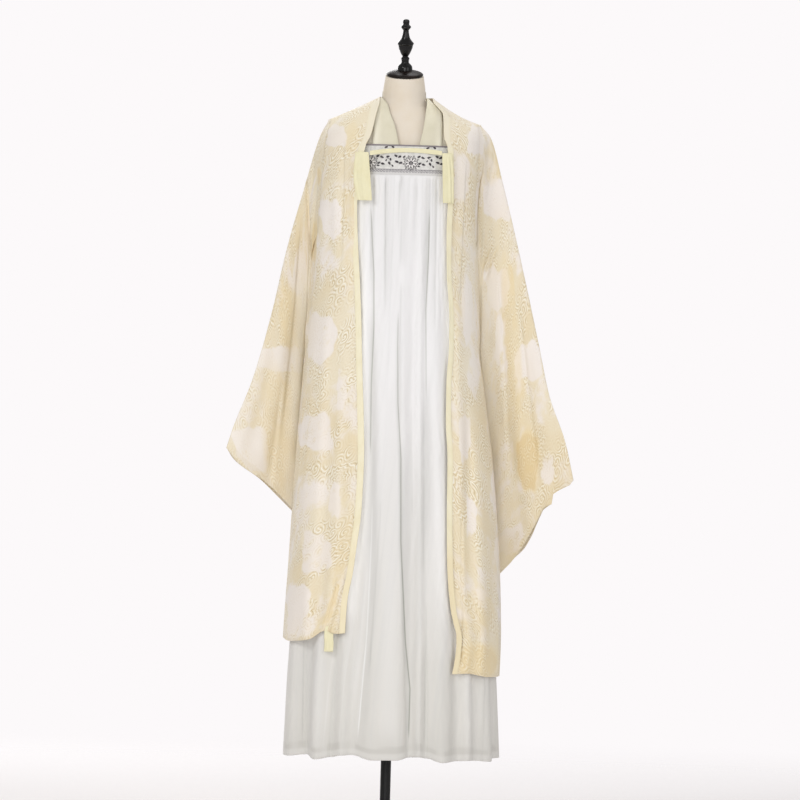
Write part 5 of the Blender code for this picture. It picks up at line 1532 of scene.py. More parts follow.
def embroidery(name, back):
    points, faces, owner = [], [], []

    def face(corners, kind):
        start = len(points)
        points.extend(corners)
        faces.append(list(range(start, start + len(corners))))
        owner.append(kind)

    def leaf(x, z, turn, long, wide, kind, lift=0.0016):
        c, s = math.cos(math.radians(turn)), math.sin(math.radians(turn))
        rim = []
        for k in range(12):
            t = 2 * math.pi * k / 12
            a, b = long / 2 * math.cos(t), wide / 2 * math.sin(t) * (1 - 0.35 * math.cos(t))
            rim.append(on_band(x + a * c - b * s, z + a * s + b * c, lift, back))
        middle = on_band(x, z, lift + 0.0004, back)
        for k in range(12):
            face([rim[k], rim[(k + 1) % 12], middle], kind)

    def stem(x0, z0, x1, z1, bow, wide=0.0007, kind=0):
        run = Vector((x1 - x0, z1 - z0))
        side = Vector((-run.y, run.x)).normalized()
        line = []
        for k in range(11):
            t = k / 10
            line.append(Vector((x0, z0)) + run * t + side * (4 * bow * t * (1 - t)))
        for a, b in zip(line, line[1:]):
            n = Vector((-(b - a).y, (b - a).x)).normalized() * (wide / 2)
            face([on_band(v.x, v.y, 0.00155, back) for v in (a - n, b - n, b + n, a + n)], kind)

    for k in range(-2, 3):
        cx, cz = FLOWER_AT[0] + k * SPRAY_STEP, FLOWER_AT[1]
        if abs(cx) > 0.19:
            continue

        def room(x, z):
            return abs(x) < 0.168 and 1.4035 < z < 1.4535
        for x, z, turn, long, wide in SPRAY[1:]:
            if room(cx + x, cz + z) and math.hypot(x, z) > 0.0186:
                leaf(cx + x, cz + z, turn, long, wide, 0)
        for x0, z0, x1, z1, bow in STEMS[1:]:
            if math.hypot(x1, z1) > 0.026 and room(cx + x0, cz + z0) and room(cx + x1, cz + z1):
                stem(cx + x0, cz + z0, cx + x1, cz + z1, bow)
        if abs(cx) < 0.16:
            for j in range(9):          # pale petals, each in a dark outline with a vein
                t = math.radians(40 * j + 10)
                c, n = math.cos(t), math.sin(t)
                leaf(cx + 0.0088 * c, cz + 0.0082 * n, math.degrees(t), 0.0134, 0.0070, 0, 0.0015)
                leaf(cx + 0.0091 * c, cz + 0.0085 * n, math.degrees(t), 0.0098, 0.0038, 1, 0.0019)
                stem(cx + 0.0056 * c, cz + 0.0052 * n, cx + 0.0118 * c, cz + 0.0110 * n, 0.0002, 0.0012)
                e = t + math.radians(20)
                leaf(cx + 0.0162 * math.cos(e), cz + 0.0148 * math.sin(e), math.degrees(e), 0.0050, 0.0034, 0, 0.0017)
                leaf(cx + 0.0162 * math.cos(e), cz + 0.0148 * math.sin(e), math.degrees(e), 0.0022, 0.0014, 1, 0.0020)
            leaf(cx, cz, 0, 0.0068, 0.0068, 0, 0.0020)
            for j in range(6):          # seeds round the middle
                t = math.radians(60 * j)
                leaf(cx + 0.0019 * math.cos(t), cz + 0.0019 * math.sin(t), 0, 0.0011, 0.0011, 1, 0.0023)
    piece = solid_piece(name, points, faces, dark_thread)
    piece.data.materials.append(pale_thread)
    if len(piece.data.polygons) == len(owner):
        piece.data.polygons.foreach_set("material_index", owner)
    return piece


embroidery("band_embroidery_front", False)
embroidery("band_embroidery_back", True)


# --------------------------------------------------------------- inner top
for side, name in ((-1, "left"), (1, "right")):
    front = Cloth([[inner_point(side, s, v, "front") for s in spread(0, 1, 16)]
                   for v in spread(0, 1, 30, 1.6)], 90, 40, "front").move(0.0006)
    rear = Cloth([[inner_point(side, s, v, "back") for s in spread(0, 1, 20)]
                  for v in spread(0, 1, 30, 1.6)], 90, 56, "back").move(0.0006)
    piece = cloth_piece("inner_%s_cloth" % name, [front, rear], inner_look,
                        ("inner_body_" + name,), {1: (0, 0, 1, -1)})
    sheet = Cloth([[collar_point(side, s, z) for s in spread(0, 1, 9)]
                   for z in spread(1.560, 1.395, 26)], 110, 20, "front").move(0.0006)
    u, v = sheet.lengths()
    share = u / u[:, -1:]
    sheet.move(0.0004 * np.sin(share * math.pi) + 0.0003 * np.sin(v * 70 + share * 2)
               + rumple(u, v, 4 + side, 0.0005, 0.10, 0.05))
    sheet.mark("edge", np.exp(-((share * u[:, -1:] - 0.0025) / 0.0008) ** 2)
               + np.exp(-(((1 - share) * u[:, -1:] - 0.0025) / 0.0008) ** 2))
    # paler towards the robe, where light comes through it
    far = np.abs(sheet.x())
    least, most = far.min(axis=1, keepdims=True), far.max(axis=1, keepdims=True)
    sheet.mark("rim", soft(((far - least) / (most - least) - 0.55) / 0.45))
    piece = cloth_piece("collar_%s_cloth" % name, [sheet], collar_look,
                        ("inner_collar_" + name,))
    thick(piece, 0.0009)
rows = []
for z, grow in ((1.5745, 0.0), (1.5675, 0.0004), (1.5600, 0.0006)):
    rows.append([Vector(((0.0488 + grow) * math.sin(math.radians(a)),
                         0.001 + (0.0575 + grow) * math.cos(math.radians(a)), z))
                 for a in spread(-70, 70, 29)])
sheet = Cloth(rows, 9, 70, "back").move(0.0006)
piece = cloth_piece("collar_neck_cloth", [sheet], collar_look, ("inner_collar_neck",))
thick(piece, 0.0009)

# -------------------------------------------------------------------- robe
SLEEVE_SEAM = 0.0004
CUFF_STEP = ((0.160, 0.235, 0.271, 0.2895, 0.304, 0.321, 0.3254, 0.3425, 0.3448, 0.3561, 0.380, 0.387),
             (0.0, 0.0, 0.002, -0.004, -0.005, 0.005, 0.008, -0.007, 0.012, 0.008, -0.004, 0.0))
FRONT_CREASES = (
    ("kind", "x0", "z0", "x1", "z1", "w0", "w1", "height", "top", "low", "bow"),
    # left front
    ("soft", -0.1050, 1.500, -0.1080, 1.050, 0.010, 0.012, 0.0030, 0.25, 0.6, 0.004),
    ("fold", -0.1280, 1.480, -0.1300, 1.100, -0.010, -0.014, -0.0030, 0.2, 0.6, 0.003),
    ("soft", -0.1560, 1.400, -0.1500, 0.980, 0.010, 0.014, -0.0032, 0.25, 0.5, 0.0),
    ("soft", -0.1180, 1.020, -0.1120, 0.520, 0.014, 0.012, 0.0034, 0.35, 0.5, -0.004),
    ("soft", -0.1420, 0.900, -0.1500, 0.400, 0.012, 0.014, -0.0036, 0.4, 0.1, 0.0),
    ("soft", -0.1750, 1.060, -0.1900, 0.420, 0.012, 0.016, 0.0034, 0.3, 0.15, 0.0),
    ("fold", -0.1123, 0.530, -0.1391, 0.404, 0.010, 0.012, -0.0042, 0.25, 0.0, 0.002),
    ("soft", -0.0990, 0.520, -0.1240, 0.404, 0.007, 0.008, 0.0026, 0.25, 0.0, 0.0),
    # right front
    ("soft", 0.1200, 1.500, 0.1160, 1.100, 0.009, 0.012, -0.0026, 0.25, 0.6, 0.0),
    ("fold", 0.1400, 1.440, 0.1330, 1.060, 0.009, 0.012, -0.0030, 0.2, 0.5, 0.0),
    ("soft", 0.1300, 1.160, 0.1440, 0.620, 0.010, 0.014, 0.0034, 0.3, 0.5, 0.004),
    ("soft", 0.1560, 1.020, 0.1740, 0.420, 0.012, 0.014, -0.0036, 0.3, 0.3, 0.0),
    ("soft", 0.1800, 0.900, 0.2060, 0.360, 0.012, 0.016, 0.0034, 0.3, 0.3, 0.0),
    ("fold", 0.1480, 0.720, 0.1560, 0.330, -0.010, -0.012, -0.0034, 0.3, 0.1, 0.0),
    ("soft", 0.2180, 0.760, 0.2240, 0.330, 0.010, 0.012, -0.0028, 0.4, 0.1, 0.0),
)
BACK_CREASES = (
    ("kind", "x0", "z0", "x1", "z1", "w0", "w1", "height", "top", "low"),
    ("soft", -0.0900, 1.480, -0.0740, 0.950, 0.016, 0.022, -0.0036, 0.15, 0.6),
    ("soft", -0.0450, 1.360, -0.0480, 0.420, 0.018, 0.026, 0.0040, 0.3, 0.1),
    ("fold", -0.1150, 1.180, -0.1350, 0.390, 0.014, 0.020, -0.0048, 0.3, 0.0),
    ("soft", -0.1500, 1.300, -0.1660, 0.600, 0.014, 0.020, 0.0036, 0.2, 0.5),
    ("soft", 0.0820, 1.490, 0.0700, 0.880, 0.016, 0.022, -0.0040, 0.15, 0.6),
    ("soft", 0.0400, 1.300, 0.0460, 0.390, 0.018, 0.026, 0.0038, 0.3, 0.1),
    ("fold", 0.1080, 1.240, 0.1300, 0.360, -0.014, -0.020, -0.0050, 0.3, 0.0),
    ("soft", 0.1480, 1.260, 0.1700, 0.520, 0.014, 0.020, 0.0036, 0.2, 0.5),
    ("soft", 0.0080, 0.980, 0.0120, 0.370, 0.012, 0.018, -0.0030, 0.4, 0.0),
)
SLEEVE_CREASES = (
    ("kind", "x0", "z0", "x1", "z1", "w0", "w1", "height", "top", "low", "bow"),
    # left: the wedge under the shoulder, then long soft folds down the sleeve
    ("soft", -0.2087, 1.400, -0.1884, 1.190, 0.0034, 0.0040, -0.0030, 0.1, 0.2, 0.0),
    ("soft", -0.1808, 1.400, -0.1884, 1.190, 0.0030, 0.0040, -0.0030, 0.1, 0.2, 0.0),
    ("soft", -0.1960, 1.420, -0.1884, 1.180, 0.0080, 0.0040, 0.0034, 0.3, 0.2, 0.0),
    ("fold", -0.2140, 1.300, -0.2500, 0.780, 0.014, 0.020, -0.0046, 0.25, 0.3, 0.006),
    ("soft", -0.2340, 1.180, -0.2860, 0.740, 0.014, 0.020, 0.0044, 0.25, 0.2, 0.006),
    ("soft", -0.2600, 1.060, -0.3220, 0.760, 0.012, 0.018, -0.0040, 0.3, 0.2, 0.004),
    ("soft", -0.2120, 1.000, -0.2300, 0.700, 0.012, 0.018, 0.0034, 0.3, 0.2, 0.0),
    ("fold", -0.2460, 0.960, -0.2680, 0.700, -0.010, -0.016, -0.0040, 0.3, 0.1, 0.0),
    # right: bright ridge below the shoulder, short bowed crease, deep band
    ("soft", 0.1740, 1.500, 0.1720, 1.370, 0.0050, 0.0060, 0.0040, 0.15, 0.4, 0.0),
    ("soft", 0.1860, 1.480, 0.1850, 1.360, 0.0050, 0.0060, -0.0030, 0.15, 0.5, 0.0),
    ("soft", 0.2115, 1.262, 0.1821, 1.175, 0.0036, 0.0044, 0.0034, 0.25, 0.3, -0.006),
    ("soft", 0.2160, 1.255, 0.1870, 1.165, 0.0036, 0.0050, -0.0034, 0.25, 0.3, -0.006),
    ("fold", 0.2120, 1.230, 0.2540, 0.720, 0.014, 0.018, -0.0048, 0.2, 0.2, 0.0),
    ("soft", 0.2340, 1.210, 0.2860, 0.700, 0.014, 0.020, 0.0048, 0.2, 0.2, 0.0),
    ("fold", 0.2560, 1.150, 0.3160, 0.720, -0.012, -0.018, -0.0046, 0.2, 0.2, 0.0),
    ("soft", 0.2860, 1.050, 0.3500, 0.740, 0.012, 0.018, 0.0036, 0.3, 0.2, 0.0),
    ("soft", 0.2200, 0.900, 0.2420, 0.620, 0.012, 0.016, 0.0036, 0.3, 0.2, 0.0),
    ("soft", 0.2440, 0.860, 0.2820, 0.620, 0.010, 0.014, -0.0036, 0.3, 0.1, 0.0),
)
# soft areas where layers lie double and look deeper gold, and bare areas
GOLD = (
    ("x", "z", "wide", "tall", "lean", "strength"),
    (-0.2345, 1.080, 0.022, 0.075, -0.10, 0.60), (-0.2550, 0.820, 0.030, 0.150, -0.08, 0.66),
    (-0.1090, 1.460, 0.014, 0.045, 0.00, 0.40), (-0.1020, 1.200, 0.014, 0.080, 0.00, 0.35),
    (-0.0980, 0.620, 0.016, 0.090, 0.00, 0.30), (-0.1250, 0.430, 0.012, 0.050, 0.25, 0.45),
    (0.2890, 0.790, 0.026, 0.064, -0.05, 0.95), (0.2650, 0.935, 0.016, 0.030, 0.00, 0.55),
    (0.2480, 1.040, 0.016, 0.190, -0.12, 0.55), (0.1900, 0.350, 0.052, 0.045, 0.00, 0.86), (0.1850, 0.450, 0.036, 0.060, 0.00, 0.45),
    (0.1450, 0.560, 0.020, 0.090, 0.00, 0.30), (0.1960, 1.430, 0.022, 0.050, 0.10, 0.45),
    (0.1290, 1.120, 0.014, 0.090, 0.00, 0.25), (0.2350, 0.560, 0.035, 0.060, 0.00, 0.35),
)
BARE = (
    ("x", "z", "wide", "tall", "lean", "strength"),
    (-0.2150, 1.180, 0.014, 0.050, 0.00, 0.60), (-0.1700, 0.700, 0.030, 0.034, 0.00, 0.45),
    (-0.1900, 0.420, 0.030, 0.024, 0.00, 0.50), (-0.1500, 1.180, 0.020, 0.050, 0.00, 0.40),
    (0.1300, 1.390, 0.016, 0.050, 0.00, 0.50), (0.2250, 1.020, 0.012, 0.080, -0.08, 0.60),
    (0.2240, 0.720, 0.016, 0.050, 0.00, 0.55), (0.3080, 0.900, 0.020, 0.040, 0.00, 0.45),
    (0.1650, 0.960, 0.014, 0.050, 0.00, 0.60), (0.2050, 0.400, 0.022, 0.030, 0.00, 0.10),
)
BACK_BARE = (
    ("x", "z", "wide", "tall", "lean", "strength"),
    (-0.0640, 1.330, 0.040, 0.034, 0.25, 0.90), (-0.0330, 1.235, 0.016, 0.050, 0.00, 0.70),
    (0.0900, 1.190, 0.030, 0.060, -0.30, 0.90), (0.0560, 1.060, 0.034, 0.022, 0.00, 0.75),
    (-0.1300, 1.030, 0.030, 0.046, 0.30, 0.90), (-0.1000, 0.940, 0.020, 0.052, 0.00, 0.70),
    (0.0300, 0.900, 0.026, 0.046, -0.20, 0.85), (0.1450, 0.780, 0.026, 0.062, 0.10, 0.90),
    (0.1050, 0.690, 0.034, 0.024, 0.00, 0.75), (-0.0700, 0.720, 0.036, 0.036, 0.30, 0.90),
    (-0.1250, 0.640, 0.016, 0.046, 0.00, 0.70), (-0.1600, 0.520, 0.026, 0.040, 0.00, 0.80),
    (0.0700, 0.520, 0.040, 0.032, -0.30, 0.85), (0.0100, 0.440, 0.016, 0.036, 0.00, 0.70),
    (0.2700, 0.900, 0.022, 0.052, 0.00, 0.85), (0.2400, 0.780, 0.030, 0.024, 0.30, 0.75),
    (-0.2700, 0.880, 0.022, 0.052, 0.00, 0.85), (-0.2350, 0.760, 0.026, 0.026, -0.30, 0.75),
    (0.1300, 1.440, 0.024, 0.034, 0.20, 0.80), (-0.1300, 1.430, 0.022, 0.040, 0.00, 0.80),
    (0.0200, 1.400, 0.022, 0.022, 0.00, 0.60), (-0.0100, 0.620, 0.020, 0.040, 0.20, 0.70),
)
BACK_GOLD = (
    ("x", "z", "wide", "tall", "lean", "strength"),
    (-0.2400, 0.800, 0.030, 0.080, 0.00, 0.60), (0.2500, 0.760, 0.030, 0.080, 0.00, 0.60),
    (0.0000, 1.200, 0.006, 0.300, 0.00, 0.30), (0.0000, 0.600, 0.006, 0.260, 0.00, 0.30),
    (-0.1000, 0.430, 0.080, 0.030, 0.00, 0.35), (0.1100, 0.410, 0.080, 0.030, 0.00, 0.35),
)


# the same, with straighter and sharper sides, where a fold lies flat
GOLD_FOLDS = (
    ("x", "z", "wide", "tall", "lean", "strength"),
    (-0.2380, 1.0790, 0.0185, 0.0600, -0.04, 0.70), (-0.2480, 0.8450, 0.0300, 0.1050, -0.08, 0.72),
    (-0.1140, 1.3240, 0.0150, 0.0300, 0.00, 0.40), (-0.2010, 1.2900, 0.0055, 0.0700, -0.07, 0.45),
    (0.2890, 0.7810, 0.0235, 0.0590, -0.03, 1.00), (0.2640, 0.9340, 0.0130, 0.0240, 0.00, 0.60),
    (0.2460, 1.1400, 0.0050, 0.0700, -0.10, 0.70), (-0.1785, 1.3850, 0.0042, 0.0200, 0.00, 0.90),
    (-0.1840, 1.2450, 0.0052, 0.0450, 0.00, 0.95),
    (-0.1262, 0.4640, 0.0080, 0.0460, 0.30, 0.85), (-0.1120, 0.5280, 0.0110, 0.0260, 0.10, 0.50),
)
BARE_FOLDS = (
    ("x", "z", "wide", "tall", "lean", "strength"),
    (-0.2480, 0.9900, 0.0480, 0.0270, 0.00, 0.95), (-0.3080, 0.7950, 0.0340, 0.0460, -0.20, 0.95),
    (-0.1630, 1.0370, 0.0300, 0.0500, 0.00, 1.00), (-0.1700, 0.8340, 0.0350, 0.0370, 0.00, 0.95),
    (-0.1420, 1.4710, 0.0200, 0.0230, 0.00, 0.95), (-0.1500, 1.2950, 0.0220, 0.0400, -0.10, 0.95),
    (-0.1160, 0.9300, 0.0100, 0.0420, 0.00, 0.55), (-0.1600, 0.5750, 0.0300, 0.0420, 0.00, 0.85),
    (-0.1250, 0.6900, 0.0120, 0.0360, 0.00, 0.60), (-0.1980, 0.4700, 0.0260, 0.0360, 0.00, 0.80),
    (0.2060, 1.3450, 0.0260, 0.0420, -0.10, 0.95), (0.2130, 1.1570, 0.0240, 0.0420, -0.10, 0.95),
    (0.2850, 1.0000, 0.0260, 0.0400, 0.00, 0.95), (0.3330, 0.7680, 0.0130, 0.0340, 0.00, 0.70),
    (0.1690, 0.6580, 0.0100, 0.0400, 0.00, 0.85), (0.2540, 0.6100, 0.0260, 0.0300, 0.30, 0.90),
    (0.1480, 1.1000, 0.0100, 0.0600, 0.00, 0.80), (0.1500, 0.8300, 0.0130, 0.0500, 0.00, 0.70),
    (0.1980, 0.5100, 0.0140, 0.0420, 0.00, 0.40), (0.1560, 1.4700, 0.0160, 0.0300, 0.00, 0.80),
)


# how far the front edges sink towards the skirt, by height
SINK = (
    ("z", "left", "right"),
    (0.380, 0.0090, 0.0130), (0.450, 0.0095, 0.0130), (0.550, 0.0125, 0.0095), (0.650, 0.0130, 0.0090),
    (0.750, 0.0125, 0.0120), (0.850, 0.0110, 0.0125), (0.950, 0.0080, 0.0120), (1.050, 0.0065, 0.0085),
    (1.150, 0.0080, 0.0080), (1.250, 0.0085, 0.0070), (1.320, 0.0060, 0.0045), (1.390, 0.0, 0.0),
)


def sink(side, x, z):
    """The sunken front edge's depth at x and z, fading out round the body."""
    line = [robe_point(side, 0, v, "front") for v in spread(0.02, 1, 60)][::-1]
    edge = np.interp(z, [q.z for q in line], [abs(q.x) for q in line])
    deep = np.interp(z, column(SINK, "z"), column(SINK, tag_of(side)))
    return deep * soft(1 - np.maximum(np.abs(x) - edge, 0) / 0.075)


def on_side(sheet, side, z, inset, lift):
    """A point of a body sheet at height z, inset from its outer edge."""
    line = []
    for column in range(sheet.p.shape[1] - 1, sheet.p.shape[1] - 15, -1):
        c = sheet.p[:330, column, :]
        order = np.argsort(c[:, 2])
        line.append([np.interp(z, c[order, 2], c[order, k]) for k in (0, 1)])
    line = np.array(line)
    far = np.abs(line[0, 0] - line[:, 0])
    x, y = (np.interp(inset, far, line[:, k]) for k in (0, 1))
    return Vector((x + side * lift, y + (-lift if sheet.way == "front" else lift), z))


def body_sheet(side, way):
    downs = [ARM_SPLIT * v for v in spread(0, 1, 26, 1.7)] + spread(ARM_SPLIT, 1, 30)[1:]
    if way == "front":
        shares = spread(0, 1, 24)
        columns = 64
    else:
        nx, ax = RIDGE[side][0][0], RIDGE[side][1][0]
        shares = [nx / ax * math.sin(math.radians(b)) for b in spread(0, 84, 10)]
        shares += [(nx + (ax - nx) * s) / ax for s in spread(0, 1, 20)]
        columns = 96
    sheet = Cloth([[robe_point(side, s, v, way) for s in shares] for v in downs], 330, columns, way)
    x, z = sheet.x().copy(), sheet.z().copy()
    if way == "front":
        sheet.p[..., 1] += sink(side, x, z)
    lines = crease_lines(FRONT_CREASES if way == "front" else BACK_CREASES, x, z)
    u, v = sheet.lengths()
    up = v[-1:] - v
    share = u / u[:, -1:]
    edge = np.minimum(share, 1 - share) * u[:, -1:]
    hold = soft((1 - share) * u[:, -1:] / 0.03) * soft(v / 0.04)
    if way == "front":
        hold = hold * soft(edge / 0.012)
    waves = rumple(x, z, 21 + side + (5 if way == "back" else 0), 0.0022, 0.22, 0.06)
    sheet.move(0.0006 + (lines + waves) * hold)
    if way == "back":       # the sewn middle of the back, where the halves overlap
        sheet.move(-0.0004 * np.exp(-(u / 0.0020) ** 2))
        sheet.p[:, 0, 0] -= side * 0.0009
        sheet.p[:, 0, 1] -= 0.0003 * (side > 0)
    out = (1 - share) * u[:, -1:]       # fullness of the sides below the armhole
    full = 0.0032 * soft((1.270 - z) / 0.025) * soft((z - 1.005) / 0.05)
    sheet.p[..., 0] += side * full * soft(1 - out / 0.03)
    sheet.mark("hem", 0.8 * soft((0.010 - up) / 0.0015))
    if way == "front":
        sheet.mark("gold", np.maximum(patches(GOLD, x, z), patches(GOLD_FOLDS, x, z, True)))
        sheet.mark("bare", np.maximum(patches(BARE, x, z), patches(BARE_FOLDS, x, z, True)))
        if side > 0:        # light comes through beside the sleeve
            sheet.mark("pale", 0.55 * np.exp(-((x - 0.1560) / 0.0150) ** 2) * soft((1.32 - z) / 0.08) * soft((z - 0.90) / 0.08))
        if side < 0:        # the edge of the fold in the lower front corner
            # painted shade along the edge of that fold
            line = np.interp(z, (0.400, 0.461, 0.512, 0.550), (-0.1300, -0.1140, -0.0990, -0.0960))
            sheet.mark("seam", 0.5 * np.exp(-((x - line) / 0.0022) ** 2) * soft((0.545 - z) / 0.03))
    else:
        sheet.mark("gold", patches(BACK_GOLD, x, z, True))
        sheet.mark("bare", patches(BACK_BARE, x, z, True))
    return sheet.turn_up(3, 0.0008)


for side in (-1, 1):
    tag = tag_of(side)
    front, rear = body_sheet(side, "front"), body_sheet(side, "back")
    piece = cloth_piece("robe_%s_cloth" % tag, [front, rear], robe_look,
                        ("robe_body_" + tag,),
                        {0: (0.40, 0.0, -1.0 * side, 1.0), 1: (0.40, 0.0, -1.0 * side, -1.0)})

    # sleeve
    full = []
    for u in spread(0, 1, 44, 1.25):
        full.append([sleeve_point(side, u, 2 * math.pi * j / 48) for j in range(48)])
    # its sewn edge lies over the edge of the body
    for inset, lift in ((0.0020, 0.0007), (0.0055, -0.0002)):
        row = []
        for j, p in enumerate(full[len(full) - 44]):
            s = math.sin(2 * math.pi * j / 48)
            row.append(on_side(front if s > -1e-9 else rear, side, p.z,
                               inset * min(abs(s) * 2.2, 1.0), lift))
        full.insert(0, row)
    # the sheer cloth bridges the hollow beside the seam, least where the right
    # sleeve falls away under the arm
    for j in range(48):
        s = math.sin(2 * math.pi * j / 48)
        a, b = full[0][j], full[7][j]
        keep = 0.88 if side < 0 or s < 0 else (
            0.85 - 0.75 * step((1.425 - a.z) / 0.05) * (1 - 0.35 * step((1.27 - a.z) / 0.04)))
        keep *= step((a.z - 1.235) / 0.03) if side < 0 or s < 0 else 1.0
        run = [0.0]
        for i in range(7):
            run.append(run[-1] + (full[i + 1][j] - full[i][j]).length)
        for i in range(1, 7):
            t = run[i] / run[-1]
            line = a.lerp(b, t) + Vector((0, -0.0022 if s >= 0 else 0.0022, 0)) * math.sin(math.pi * t)
            full[i][j] = full[i][j].lerp(line, keep * min(abs(s) * 2.5, 1.0))
    sheet = Cloth(full, 306, 192, "round", True)
    x, z = sheet.x().copy(), sheet.z().copy()
    turn = np.linspace(0, 2 * math.pi, 192, endpoint=False)[None, :]
    u, v = sheet.lengths()
    v = v.mean(axis=1, keepdims=True) + 0 * v
    front_side = np.sin(turn) > 0
    lines = crease_lines(SLEEVE_CREASES, x, z)
    waves = rumple(x, z, 31 + side, 0.0026, 0.24, 0.06)
    flat_share = np.abs(np.sin(turn)) ** 0.7
    hold = flat_share * soft(v / 0.05)
    sheet.move(0.0006 + np.where(front_side, 1.0, -0.45) * (lines + waves) * hold)
    up = v[-1:] - v
    rear_side = np.clip(-np.sin(turn) * 2.2, 0, 1)      # the back layer hangs a little shorter
    sheet.p[..., 2] += (0.0150 if side > 0 else 0.0065) * rear_side * soft(1 - up / 0.08)
    if side > 0:            # the right cuff runs unevenly, with a step in its edge
        shift = np.interp(sheet.p[-1, :, 0], CUFF_STEP[0], CUFF_STEP[1])
        sheet.p[..., 2] += shift[None, :] * soft(1 - up / 0.055)
    sheet.mark("hem", 0.8 * soft((0.012 - up) / 0.0015))
    gold = np.maximum(patches(GOLD, x, z), patches(GOLD_FOLDS, x, z, True))
    bare = np.maximum(patches(BARE, x, z), patches(BARE_FOLDS, x, z, True))
    sheet.mark("gold", np.where(front_side, gold, patches(BACK_GOLD, x, z, True)))
    sheet.mark("bare", np.where(front_side, bare, patches(BACK_BARE, x, z, True)))
    # painted shadow in the hollow beside the right armhole, and painted shade
    # along the lines of the left wedge
    if side > 0:
        line = np.interp(z, (1.225, 1.256, 1.300, 1.345, 1.385, 1.440), (0.1610, 0.1655, 0.1640, 0.1660, 0.1700, 0.1760))
        run = soft((z - 1.225) / 0.03) * soft((1.435 - z) / 0.05)
        seam = (np.exp(-((x - line) / 0.0016) ** 2) + 0.34 * np.exp(-np.maximum(x - line, 0) / 0.007) * (x > line)
                * soft((1.375 - z) / 0.03)) * run
    else:
        line = np.interp(z, (1.200, 1.290, 1.400), (-0.1884, -0.1975, -0.2087))
        run = np.maximum(soft((1.405 - z) / 0.02) * soft((z - 1.355) / 0.02), soft((1.275 - z) / 0.03) * soft((z - 1.195) / 0.01))
        seam = 0.8 * np.exp(-((x - line) / 0.0028) ** 2) * run
    sheet.mark("seam", front_side * np.clip(seam, 0, 1))
    # painted light beside the body, for the light that comes through both layers
    # and against the shade of the hollow there
    beside = 0.172 + (1.20 - np.minimum(z, 1.20)) * 0.085 if side > 0 else 0.192 + (1.20 - np.minimum(z, 1.20)) * 0.050
    painted_light_share = soft((1.22 - z) / 0.08) * soft(1 - (np.abs(x) - beside) / 0.052)
    if side < 0:        # and painted lighter towards its outer edge, which lies in shade
        painted_light_share = np.maximum(painted_light_share, 0.36 * soft((-0.212 - x) / 0.03) * soft((1.10 - z) / 0.15))
    sheet.mark("pale", front_side * painted_light_share)
    sheet.turn_up(3, 0.0008)
    piece = cloth_piece("sleeve_%s_cloth" % tag, [sheet], robe_look,
                        ("robe_sleeve_" + tag,), {0: (0.9 + side * 0.3, 0.3, 1.0, 1.0)})

    # band along the front edge, folded round it
    rows = []
    for down in spread(0.010, 1.0, 70, 1.2):
        here = robe_point(side, 0, down, "front")
        outer = robe_point(side, 1, down, "front")
        wide = FRONT_BAND_W / (outer - here).xy.length
        row = [robe_moved(side, wide * k / 5, down, "front", 0.0021) for k in (5, 4, 3, 2, 1, 0)]
        row += [robe_moved(side, wide * k / 5, down, "front", -0.0008) for k in (0.3, 2)]
        rows.append(row)
    sheet = Cloth(rows, 360, 26, "front")
    sheet.p[..., 1] += sink(side, sheet.x(), sheet.z())
    u, v = sheet.lengths()
    share = np.linspace(0, 1, 26)[None, :]
    sheet.move((0.0005 * np.sin(v * 31 + 2 * side) * np.sin(v * 12.7 + 1)
                + rumple(u, v, 41 + side, 0.0006, 0.07, 0.05)) * soft((0.7 - share) / 0.3))
    sheet.mark("edge", np.exp(-((u - 0.0018) / 0.0008) ** 2))
    z = sheet.z()
    sheet.mark("high", soft((z - 1.435) / 0.03))
    sheet.mark("low", (0.9 if side > 0 else 0.6) * soft((0.66 - z) / 0.12))
    piece = cloth_piece("robe_%s_band" % tag, [sheet], band_look, ("robe_band_" + tag,))

# the band behind the neck
rows = []
for part in (0.03, 0.3, 0.65, 1.0):
    row = []
    for side, bearings in ((-1, spread(88.5, 6, 14)), (1, spread(0, 88.5, 15))):
        nx, ax = RIDGE[side][0][0], RIDGE[side][1][0]
        for b in bearings:
            p = robe_moved(side, nx / ax * math.sin(math.radians(b)), part * 0.05 * ARM_SPLIT, "back", 0.0021)
            if b == 0:
                p.x = 0.0
            row.append(p)
    rows.append(row)
sheet = Cloth(rows, 14, 120, "back")
sheet.mark("high", 1.0)
piece = cloth_piece("robe_neck_band", [sheet], band_look, ("robe_band_neck",))
thick(piece, 0.0008)

# end of the band, sewn inside the left hem and hanging below it
rows = []
for z in spread(0.4200, 0.3653, 14):
    row = []
    for k in range(7):
        share = 0.333 - 0.144 * k / 6
        above = max(z - robe_point(-1, share, 1.0, "front").z, 0.0)
        free = soft((0.408 - z) / 0.03)
        row.append(Vector((-0.1395 + 0.0195 * k / 6 + 0.0010 * free * math.sin((0.399 - z) * 90),
                           robe_point(-1, share, 1.0 - above / 1.42, "front").y + 0.0025
                           - 0.0010 * free * math.sin(k * 1.1 + z * 80), z)))
    rows.append(row)
sheet = Cloth(rows, 40, 18, "front")
sheet.p[..., 1] += sink(-1, sheet.x(), np.maximum(sheet.z(), 0.392))
piece = cloth_piece("tie_end_cloth", [sheet], ribbon_look, ("robe_tie_end_left",))
thick(piece, 0.0008)

